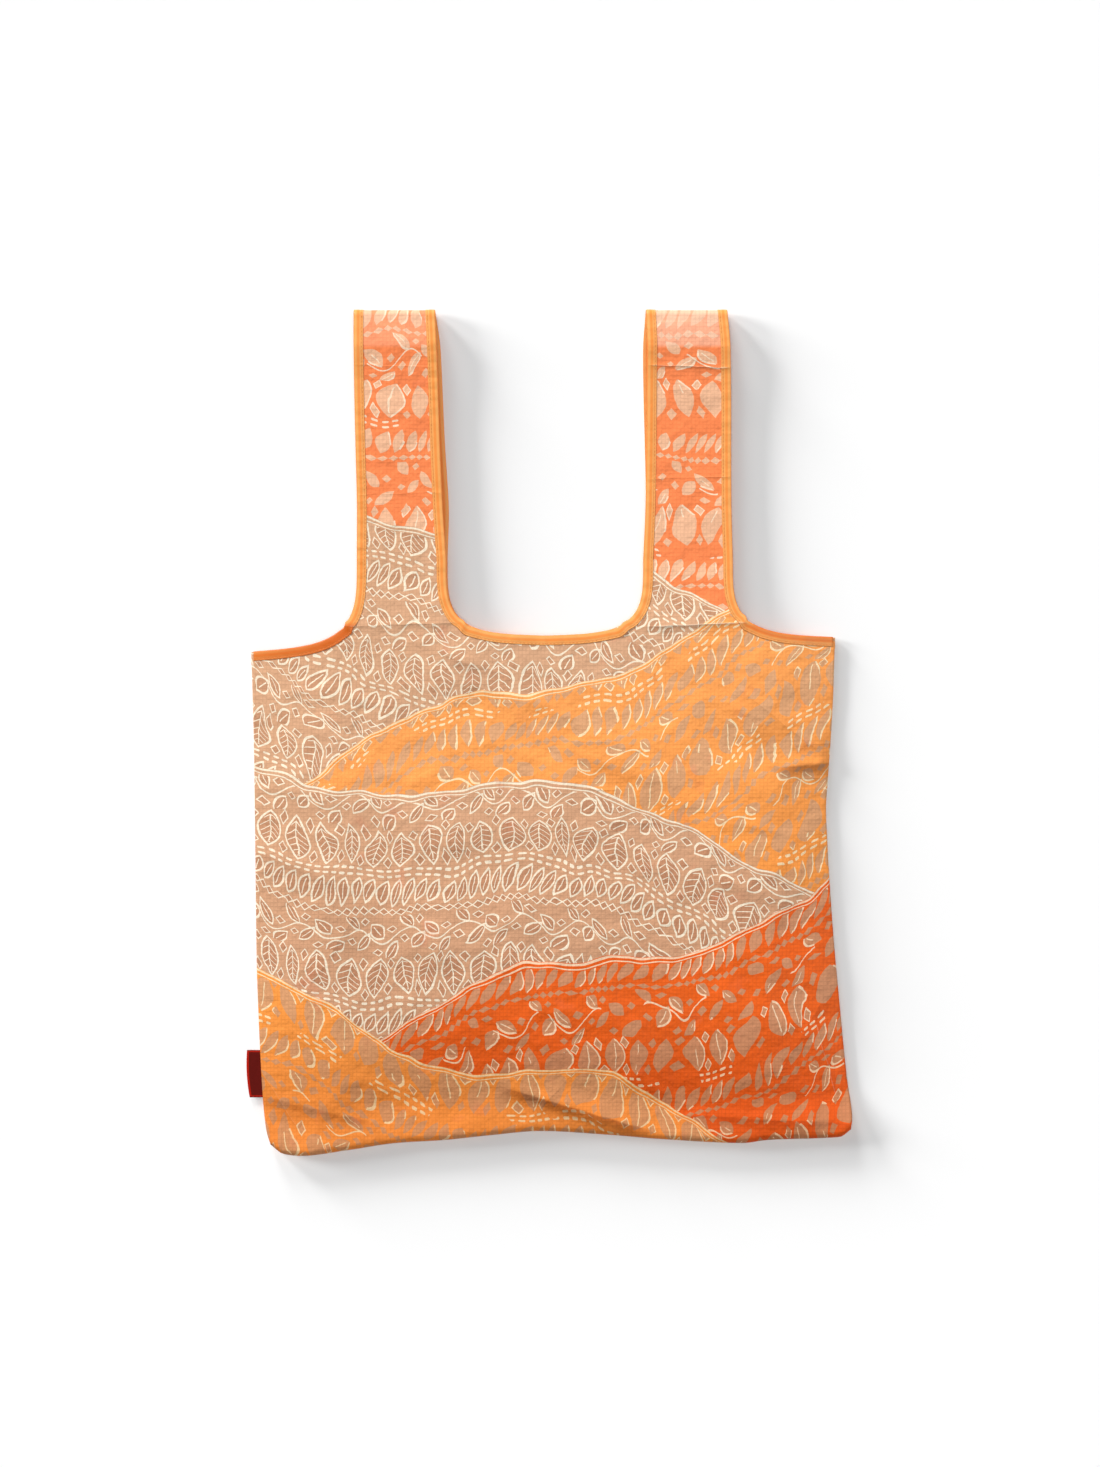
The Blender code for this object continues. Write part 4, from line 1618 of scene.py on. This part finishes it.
BROAD_LEAF = Leaf(15.4, 7.0, 2.4, 0.45, 11.5)
SPRIG_LEAF = Leaf(9.6, 3.6, 0.9, 0.35, 6.0)
VINE_LEAF = Leaf(8.2, 3.8, 1.0, 0.35, 4.8)


@dataclass(frozen=True)
class PrintedRipstop:
    """Thin polyester with a ripstop grid and a print of leaves along rolling bands.

    The back's print is the front's, mirrored and moved. A band whose share of lines is over full_lines
    has its shapes outlined all round, and the others have them outlined on one side.
    """

    name: str
    mirrored: bool = False
    back_shift: tuple[float, float] = (60.0, 24.0)
    grid: float = 3.1
    line_width: float = 1.35
    full_lines: float = 0.9
    sway_x: float = 26.0
    sway_y: float = 22.0
    vine_swing: float = 6.5
    vine_leaf: float = 8.0
    roughness: float = 0.56
    shaded: Color = linear(150, 112, 96)
    # Painted light: the print pales towards the upper left.
    painted_light_tint: Color = linear(255, 232, 190)
    # Painted shade: the print deepens towards the bottom seam.
    painted_bottom_shade: Color = linear(225, 190, 150)
    # Painted sheen: the strap tops past the pressed crease are paler, more on the right strap.
    painted_top_sheen: Color = linear(246, 204, 178)
    glow: Color = linear(226, 120, 88)
    # Painted highlight on the crests of the pressed creases.
    crest_highlight: Color = linear(255, 232, 206)

    def lens(self, p: Strand, q: Strand, length: float, width: object) -> Strand:
        """Distance outside a leaf: |p| - width * (1 - (q / length)^2), over the slope of its edge.

        Args:
            p: Place across the leaf.
            q: Place along the leaf.
            length: Half the leaf's length.
            width: Half the leaf's width.

        Returns:
            The distance, less than 0 inside.
        """
        share = q / length
        slope = share * width * (2 / length)
        return (abs(p) - (1 - share * share) * width) / (slope * slope + 1.0).math("SQRT")

    def outline(self, away: Strand, p: Strand, whole: Strand) -> Strand:
        """Line round a shape, or along one side of it where whole is 0."""
        return (abs(away) < self.line_width / 2) * (whole | (p > 0.7))

    def leaf(self, p: Strand, q: Strand, chance: Strand, leaf: Leaf) -> tuple[Strand, Strand]:
        """Distance outside a leaf of chance width, and the mask of its rib."""
        away = self.lens(p, q, leaf.length, chance * leaf.spread + leaf.width)
        return away, (abs(p) < leaf.rib) * (abs(q) < leaf.rib_reach)

    def turned(self, p: Strand, q: Strand, angle: Strand | float) -> tuple[Strand, Strand]:
        """Turns a place by an angle.

        Args:
            p: Place across.
            q: Place along.
            angle: The angle in radians, a number or a strand.

        Returns:
            The turned place's two parts.
        """
        if isinstance(angle, Strand):
            c, s = angle.math("COSINE"), angle.math("SINE")
        else:
            c, s = math.cos(angle), math.sin(angle)
        return p * c + q * s, q * c - p * s

    def cells(self, tree: ShaderTree, u: Strand, pitch: float, lane: Strand) -> tuple[Strand, Strand, Strand]:
        """Splits a row into cells.

        Args:
            tree: The material's tree.
            u: Place along the row.
            pitch: Length of a cell.
            lane: Number of the row's cycle.

        Returns:
            The place in the cell from its middle, the cell's number and its random value.
        """
        number = (u / pitch).math("FLOOR")
        local = u - (number + 0.5) * pitch
        return local, number, tree.chance(tree.point(number, lane, pitch))

    def motif(self, tree: ShaderTree, row: Row, u: Strand, q: Strand, lane: Strand,
              whole: Strand) -> tuple[Strand, Strand]:
        """Fill and line of one kind of row.

        Args:
            tree: The material's tree.
            row: The row.
            u: Place along the row.
            q: Place across the row, from its middle.
            lane: Number of the row's cycle, for its random values.
            whole: 1 where shapes are outlined all round, and 0 where on one side only.

        Returns:
            Masks of the filled shapes and of the lines.
        """
        local, _, chance = self.cells(tree, u, row.pitch, lane)
        if row.motif is Motif.LEAVES:
            p, r = self.turned(local, q, chance * 0.5 - 0.25)
            away, rib = self.leaf(p, r, chance, BROAD_LEAF)
            vein = (abs(((r - abs(p) * 0.8) / 4.8).fract() - 0.5) < 0.075) * whole
            gap = (abs(abs(local) - row.pitch / 2) + abs(abs(q) - 11.6) * 0.72) - 3.4
            line = self.outline(away, p, whole) | ((rib | vein) * (away < -1.3)) | (abs(gap) < 0.5)
            return (away < 0.0) | (gap < 0.0), line
        if row.motif is Motif.DASHES:
            side = (abs(local) - 1.5) | 0.0
            away = (side**2.0 + (abs(q) - 2.3) ** 2.0).math("SQRT") - 0.95
            return tree.number(0.0), away < 0.0
        if row.motif is Motif.SPRIGS:
            p, r = self.turned(local, q, 0.42)
            away, rib = self.leaf(p, r, chance, SPRIG_LEAF)
            return away < 0.0, self.outline(away, p, whole) | (rib * whole)
        if row.motif is Motif.DIAMONDS:
            away = abs(local) * 0.74 + abs(q) - 2.8
            return away < 0.0, (abs(away) < self.line_width / 2 * 0.75) * whole
        turn, pitch = 2 * math.pi / row.pitch, row.pitch / 4
        stem = abs(q - (u * turn).math("SINE") * self.vine_swing) < 0.62
        local, number, chance = self.cells(tree, u, pitch, lane)
        sign = (number / 2.0).fract() * 4.0 - 1.0
        middle = ((number + 0.5) * pitch * turn).math("SINE") * self.vine_swing
        centre = middle + sign * self.vine_leaf
        p, r = self.turned(local * sign, q - centre, 0.75)
        away, rib = self.leaf(p, r, chance, VINE_LEAF)
        bud = abs(local) * 0.8 + abs(q - centre + sign * (2 * self.vine_leaf)) - 3.0
        line = stem | self.outline(away, p, whole) | rib | ((abs(bud) < 0.5) * whole)
        return (away < 0.0) | (bud < 0.0), line

    def inks(self, tree: ShaderTree, x: Strand, y: Strand, place: Strand) -> Strand:
        """Chooses the band of the print and the row in it, and mixes the inks.

        Args:
            tree: The material's tree.
            x: Place across the print.
            y: Place along the print.
            place: Place in the pattern, for the noises.

        Returns:
            The print's colour.
        """
        sway = tree.noise(place, 0.022, 1.0) - 0.5
        wobble = tree.noise(place, 0.21, 1.0) - 0.5
        px = x + sway * self.sway_x + wobble * 1.5
        py = y + (tree.noise(tree.point(y, x, 40.0), 0.022, 1.0) - 0.5) * self.sway_y
        depth, along, first = tree.number(500.0), px, tree.number(0.0)
        ground, fill, line, kept = SAND.ground, SAND.fill, SAND.line, tree.number(1.0)
        for hill in reversed(HILLS):
            edge = px * hill.slope + (px / hill.length + hill.phase).math("SINE") * hill.swell + hill.height
            below = (edge - py) * math.cos(math.atan(hill.slope))
            inside = below > 0.0
            first = first + (below - first) * inside
            depth = depth + (below + hill.start - depth) * inside
            along = along + (px + 17.0 * hill.start - along) * inside
            ground = tree.mix(inside, ground, hill.tone.ground)
            fill = tree.mix(inside, fill, hill.tone.fill)
            line = tree.mix(inside, line, hill.tone.line)
            kept = kept + (inside * (hill.tone.lines - kept))
        lane, whole = (depth / CYCLE).math("FLOOR"), kept > self.full_lines
        cycle = depth - lane * CYCLE
        filled, lined = tree.number(0.0), tree.number(0.0)
        for row in ROWS:
            here = (cycle > row.start) * (cycle < row.start + row.height)
            middle = row.start + row.height / 2
            shapes, lines = self.motif(tree, row, along, cycle - middle, lane, whole)
            filled, lined = filled | (shapes * here), lined | (lines * here)
        clear = first > 5.4
        border = (abs(first - 1.1) < 0.75) | (abs(first - 4.1) < 0.45)
        shown = tree.noise(place, 0.02, 1.0) < kept * 0.62 + 0.24
        lined = (lined * clear * (shown | whole)) | border
        return tree.mix(lined * 0.92, tree.mix(filled * clear, ground, fill), line)

    def painted_light_share(self, x: Strand, y: Strand) -> Strand:
        """Share of the painted light, from 0 low on the bag to 1 at its upper left."""
        return (y - x * 0.2).ramp(150.0, 430.0)

    def paint_light_shade_and_glow(self, tree: ShaderTree, color: Strand, x: Strand, y: Strand, place: Strand) -> Strand:
        """Paints light on the print towards the upper left, painted shade near the bottom and a painted sheen
        on the strap tops, and lets the other layer glow through.

        Args:
            tree: The material's tree.
            color: The print's colour.
            x: Place across the print.
            y: Place along the print.
            place: Place in the pattern, for the noises.

        Returns:
            The changed colour.
        """
        # Painted light: the print pales towards the upper left.
        color = tree.mix(self.painted_light_share(x, y) * 0.08, color, self.painted_light_tint)
        # Painted shade: the print deepens towards the bottom seam.
        painted_bottom_shade = tree.blend(1.0, color, self.painted_bottom_shade, "MULTIPLY")
        color = tree.mix(y.ramp(140.0, 30.0) * 0.5, color, painted_bottom_shade)
        # Painted sheen: the strap tops past the pressed crease are paler, more on the right strap.
        top = y.ramp(665.0, 669.0) * (x.ramp(-40.0, 60.0) * 0.28 + 0.20)
        color = tree.mix(top, color, self.painted_top_sheen)
        patches = tree.noise(place, 0.045, 2.0, 0.6).ramp(0.56, 0.70)
        glow = patches * tree.noise(place, 0.013, 1.0).ramp(0.45, 0.62)
        return tree.mix(glow * 0.20, color, self.glow)

    def weave(self, tree: ShaderTree, color: Strand, x: Strand, y: Strand, place: Strand,
              creased: Strand) -> bpy.types.Material:
        """Adds the ripstop grid, uneven inking with painted light towards the upper left, a painted highlight
        on the creases' crests, fine crinkles and creases, and finishes the material.

        Args:
            tree: The material's tree.
            color: The print's colour.
            x: Place across the print.
            y: Place along the print.
            place: Place in the pattern, for the noises.
            creased: Height of the pressed creases.

        Returns:
            The material.
        """
        warp, weft = (
            1 - (abs((part / self.grid).fract() - 0.5) * self.grid).ramp(0.12, 0.55) for part in (x, y)
        )
        ribs = warp | weft
        ink_and_painted_light = tree.noise(place, 0.012, 3.0) * 0.12 + tree.noise(place, 0.5, 2.0) * 0.05 + 0.925
        # Painted light: brighter towards the upper left; the ripstop ribs are darker.
        ink_and_painted_light = ink_and_painted_light - ribs * 0.10 + self.painted_light_share(x, y) * 0.07
        color = tree.blend(1.0, color, tree.node("CombineColor", None, {0: ink_and_painted_light, 1: ink_and_painted_light, 2: ink_and_painted_light}), "MULTIPLY")
        # Painted highlight on the crests of the pressed creases.
        color = tree.mix(creased.ramp(0.45, 0.85) * 0.50, color, self.crest_highlight)
        crinkle = tree.noise(place, 0.05, 3.0, 0.6) * 2.4 + tree.noise(place, 0.18, 2.0) * 0.3
        height = ribs * 0.05 + crinkle + creased
        gloss = tree.noise(place, 0.1, 2.0) * 0.10 + (self.roughness - 0.05)
        return tree.finish(color, gloss, height, Specular_IOR_Level=0.16)

    def dress(self) -> bpy.types.Material:
        """Makes the material.

        Returns:
            The material.
        """
        tree = ShaderTree(self.name)
        x, y = tree.uv("Cloth")
        place, creased = tree.point(x, y), pressed(tree, x, y, CREASES)
        shade = pressed(tree, x, y, SHADES, below_only=True)
        if self.mirrored:
            x, y = self.back_shift[0] - x, y - self.back_shift[1]
        color = self.inks(tree, x, y, place)
        color = tree.mix(shade, color, tree.blend(1.0, color, self.shaded, "MULTIPLY"))
        return self.weave(tree, self.paint_light_shade_and_glow(tree, color, x, y, place), x, y, place, creased)


@dataclass(frozen=True)
class SatinTape:
    """Glossy orange bias tape in lighter and deeper bands of painted highlight and shade, with painted shade
    deeper again along the shoulders, along the stitches and at the inner edge, and painted highlights on the
    creases.
    """

    name: str
    shift: tuple[float, float]
    fold_line: float = 4.2
    stitch_line: float = 6.7
    # Painted highlight and shade: the lighter and deeper bands of the tape.
    light: Color = linear(255, 183, 102)
    deep: Color = linear(255, 148, 62)
    # Painted shade on the shoulders, where the tape runs across and turns from the light.
    turned: Color = linear(218, 93, 0)
    # Painted shade along the stitches and at the inner edge.
    edge: Color = linear(206, 98, 38)
    # Painted highlight on the pressed creases.
    crest_highlight: Color = linear(255, 218, 172)

    def dress(self) -> bpy.types.Material:
        """Makes the material.

        Returns:
            The material.
        """
        tree = ShaderTree(self.name)
        s, around = tree.uv("Tape")
        place = tree.point(s, around)
        frame_place = tree.node("TexCoord", None, None, "Object")
        x = tree.dot(frame_place, (1 / MM, 0.0, 0.0)) - self.shift[0] / MM
        y = tree.dot(frame_place, (0.0, 1 / MM, 0.0)) - self.shift[1] / MM
        creased = pressed(tree, x, y, CREASES)
        inward = abs(around)
        tone = tree.noise(place, 0.035, 3.0)
        # Painted highlight and shade: the lighter and deeper bands of the tape.
        bands = abs(inward - self.fold_line).ramp(0.5, 1.7) * inward.ramp(0.6, 1.6)
        color = tree.mix(bands * 0.7 + tone * 0.5 - 0.12, self.deep, self.light)
        # Painted shade along the stitches and at the inner edge.
        color = tree.mix(abs(inward - self.stitch_line).ramp(0.75, 0.2) * 0.3, color, self.edge)
        color = tree.mix(inward.ramp(7.6, 8.0) * 0.25, color, self.edge)
        # Painted shade: the tape is deeper on the shoulders below the kinks.
        left = x.ramp(-130.0, -158.0) * (x.ramp(-262.0, -160.0) * 0.35 + 0.50)
        right = x.ramp(150.0, 176.0) * (inward.ramp(5.5, 3.5) * 0.45 + 0.15)
        color = tree.mix((left + right) * y.ramp(441.0, 436.0), color, self.turned)
        # Painted highlight on the pressed creases.
        color = tree.mix(creased.ramp(0.2, 0.55) * 0.65, color, self.crest_highlight)
        slant = ((s + around) / 0.55).fract()
        height = abs(slant - 0.5) * 0.04 + tree.noise(place, 0.16, 2.0) * 0.22 + creased
        return tree.finish(color, tone * 0.14 + 0.36, height, Specular_IOR_Level=0.35)


@dataclass(frozen=True)
class SewingThread:
    """Spun thread of one colour with a fine twist."""

    name: str
    color: Color = linear(250, 150, 72)
    dark: Color = linear(205, 96, 30)

    def dress(self) -> bpy.types.Material:
        """Makes the material.

        Returns:
            The material.
        """
        tree = ShaderTree(self.name)
        s, around = tree.uv("Tape")
        twist = abs(((s + around * 0.7) / 0.32).fract() - 0.5)
        return tree.finish(tree.mix(twist * 0.5, self.color, self.dark), 0.55, twist * 0.08)


@dataclass(frozen=True)
class LabelWeave:
    """Dense label weave: a bare dark field inside a red border along the fold and the ends."""

    name: str
    half_length: float = 19.5
    border: float = 1.6
    red: Color = linear(196, 28, 8)
    dark: Color = linear(72, 12, 8)
    shadow: Color = linear(40, 6, 4)
    worn: Color = linear(120, 22, 10)

    def dress(self) -> bpy.types.Material:
        """Makes the material.

        Returns:
            The material.
        """
        tree = ShaderTree(self.name)
        across, along = tree.uv("Label")
        place = tree.point(across, along)
        warp = ((across + along) / 0.5).fract()
        pick = (along / 0.34).fract()
        weave = abs(warp - 0.5) * 0.6 + abs(pick - 0.5) * 0.4
        rim = (abs(across) - 2.0).math("MINIMUM", self.half_length - self.border - abs(along))
        field = rim.ramp(-0.25, 0.25)
        color = tree.mix(field * 0.88, self.red, self.dark)
        color = tree.mix((abs(along) > self.half_length - 0.7) * 0.7, color, self.dark)
        color = tree.mix(weave * 0.3, color, self.shadow)
        color = tree.mix(tree.noise(place, 0.3, 2.0) * 0.25, color, self.worn)
        return tree.finish(color, 0.8, weave * 0.12, Specular_IOR_Level=0.12)


class Lit(Enum):
    """What a lamp lights."""

    FLOOR = "floor"
    BAG = "bag"


@dataclass(frozen=True)
class Lamp:
    """A soft sun: degrees above the horizon, from +X towards +Y, and across; its share; what it lights."""

    name: str
    height: float
    azimuth: float
    spread: float
    share: float
    lights: Lit


LAMPS = (
    Lamp("casting_left", 11.0, 163.0, 16.0, 0.25, Lit.FLOOR),
    Lamp("casting_top", 13.0, 108.0, 18.0, 0.16, Lit.FLOOR),
    Lamp("casting_low", 8.5, 136.0, 13.0, 0.19, Lit.FLOOR),
    Lamp("floor_top", 90.0, 0.0, 30.0, 0.48, Lit.FLOOR),
    Lamp("key", 23.0, 126.0, 14.0, 0.45, Lit.BAG),
    Lamp("top", 68.0, 100.0, 40.0, 0.15, Lit.BAG),
    Lamp("filling", 48.0, -8.0, 36.0, 0.27, Lit.BAG),
)


@dataclass
class Studio:
    """A pale floor, soft lamps from the upper left and from above, and the camera.

    Shares are of the light that a white surface lying flat sends back. Low lamps kept to the floor make
    the bag's long soft shadow, and the lamps that show its folds are kept to the bag. The sky lights both
    evenly, and the camera sees it white.
    """

    floor_size: float = 12.0
    floor_drop: float = 0.05 * MM
    floor_tone: float = 0.86
    sky: float = 0.10
    camera_place: tuple[float, float, float] = (0.0008, -0.0004, 2.862)
    lens: float = 85.0
    sensor: float = 36.0

    def sun(self, lamp: Lamp, lit: Sequence[bpy.types.Object]) -> None:
        """Adds a soft sun lamp.

        Args:
            lamp: Its place, size and strength.
            lit: The objects that it lights.
        """
        light = bpy.data.lights.new(lamp.name, "SUN")
        light.energy = math.pi * lamp.share / math.sin(math.radians(lamp.height))
        light.angle = math.radians(lamp.spread)
        made = bpy.data.objects.new(lamp.name, light)
        made.rotation_euler = (0.0, math.radians(90 - lamp.height), math.radians(lamp.azimuth))
        bpy.context.scene.collection.objects.link(made)
        group = bpy.data.collections.new(f"lit_by_{lamp.name}")
        for piece in lit:
            group.objects.link(piece)
        made.light_linking.receiver_collection = group

    def floor(self) -> bpy.types.Object:
        """Makes the floor, a plain square just under the bag.

        Returns:
            The floor.
        """
        half = self.floor_size / 2
        corners = np.array([(-half, -half), (half, -half), (half, half), (-half, half)])
        points = np.column_stack([corners, np.full(4, -self.floor_drop)])
        floor = new_piece("floor", points, np.array([[0, 1, 2, 3]]), "Floor", corners)
        tone = (self.floor_tone,) * 3
        floor.data.materials.append(ShaderTree("floor").finish(tone, 0.9, Specular_IOR_Level=0.0))
        return floor

    def sky_world(self) -> bpy.types.World:
        """Makes the sky, which is white where the camera sees it and dim as a light.

        Returns:
            The scene's world.
        """
        world = bpy.data.worlds.new("sky")
        world.use_nodes = True
        nodes, links = world.node_tree.nodes, world.node_tree.links
        seen, path = nodes["Background"], nodes.new("ShaderNodeLightPath")
        mixed = nodes.new("ShaderNodeMix")
        mixed.inputs[2].default_value, mixed.inputs[3].default_value = self.sky, 1.0
        links.new(path.outputs["Is Camera Ray"], mixed.inputs[0])
        links.new(mixed.outputs[0], seen.inputs["Strength"])
        seen.inputs["Color"].default_value = (1.0, 1.0, 1.0, 1.0)
        return world

    def camera(self) -> bpy.types.Object:
        """Makes the camera, which looks straight down.

        Returns:
            The camera's object.
        """
        camera = bpy.data.cameras.new("camera")
        camera.lens, camera.sensor_width = self.lens, self.sensor
        made = bpy.data.objects.new("camera", camera)
        made.location = self.camera_place
        bpy.context.scene.collection.objects.link(made)
        return made

    def build(self, pieces: Sequence[bpy.types.Object]) -> None:
        """Makes the floor, the lights, the sky and the camera.

        Args:
            pieces: The bag's pieces.
        """
        floor = self.floor()
        for lamp in LAMPS:
            self.sun(lamp, [floor] if lamp.lights is Lit.FLOOR else pieces)
        scene = bpy.context.scene
        scene.world, scene.camera = self.sky_world(), self.camera()
        scene.view_settings.view_transform = "Standard"


PIECES: list[bpy.types.Object] = []


def place_piece(piece: bpy.types.Object, slot: str, material: bpy.types.Material, *stands_for: str) -> None:
    """Dresses a piece, rides it on the body and reports it.

    Args:
        piece: The piece.
        slot: The record's material slot, which is not used.
        material: Its material.
        stands_for: The CAD nodes that it replaces.
    """
    piece.data.materials.append(material)
    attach(piece, BODY)
    PIECES.append(piece)
    if stands_for:
        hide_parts(*stands_for)
    log.info("%s: %d faces", piece.name, len(piece.data.polygons))


@dataclass
class Shopper:
    """The whole bag: two panels, three tapes with their stitches, and the side label."""

    shape: BagShape = field(default_factory=BagShape)
    tape_step: float = 1.3 * MM

    def shift(self) -> Array:
        """Measures the way from the pattern's origin to the frame's.

        Returns:
            The move that puts the left and bottom sides where the front panel has them.
        """
        lowest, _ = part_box("front_panel")
        left = -self.shape.body_width / 2 * max(column(LEFT_SIDE, "reach"))
        return np.array([lowest.x - left, lowest.y, 0.0])

    def build(self) -> None:
        """Builds, dresses and places every piece."""
        shift = self.shift()
        log.info("shift %s", shift)
        front, back = ClothPanel(self.shape, Layer.FRONT), ClothPanel(self.shape, Layer.BACK)
        for panel, name, mirrored in ((front, "front", False), (back, "back", True)):
            piece, area = panel.build(f"{name}_cloth", shift)
            finish = PrintedRipstop(f"ripstop_{name}", mirrored)
            place_piece(piece, f"ripstop_{name}", finish.dress(), f"{name}_panel")
            log.info("flat area %.4f", area)
        tape = SatinTape("binding_tape", (float(shift[0]), float(shift[1]))).dress()
        thread = SewingThread("sewing_thread").dress()
        for side in Side:
            front_run = front.edge_run(side, Run.OUTER, self.tape_step)
            back_run = back.edge_run(side, Run.OUTER, self.tape_step)[:, -2::-1]
            run = np.concatenate([front_run, back_run], axis=1)
            end = side.name.lower()
            self.bind(f"shoulder_{end}", f"shoulder_binding_{end}", run, False, shift, tape, thread)
        ends = [panel.edge_run(side, Run.INNER, self.tape_step) for panel in (front, back) for side in Side]
        loop = [ends[0][:, :-1], ends[2][:, :0:-1], ends[3][:, :-1], ends[1][:, :0:-1]]
        self.bind("mouth", "mouth_binding", np.concatenate(loop, axis=1), True, shift, tape, thread)
        label = SideLabel(self.shape).build("folded_label", shift)
        place_piece(label, "label_weave", LabelWeave("label_weave").dress(), "side_label")

    def bind(self, name: str, node: str, run: Array, closed: bool, shift: Array,
             tape: bpy.types.Material, thread: bpy.types.Material) -> None:
        """Builds one tape and its stitches.

        Args:
            name: Stem of the pieces' names.
            node: The CAD node that the tape replaces.
            run: Edge and inset points (2, stations, 3).
            closed: Whether the tape is a loop.
            shift: From the pattern's origin to the frame's.
            tape: The tape's material.
            thread: The thread's material.
        """
        made = TapeRun(run[0], run[1], closed)
        place_piece(made.build(f"{name}_tape", shift), "binding_tape", tape, node)
        place_piece(made.stitches(f"{name}_stitching", shift), "binding_tape", thread)


def main() -> None:
    """Builds the bag and its studio."""
    logging.basicConfig(level=logging.INFO, format="%(name)s: %(message)s")
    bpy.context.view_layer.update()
    Shopper().build()
    Studio().build(PIECES)


if __name__ == "__main__":
    main()
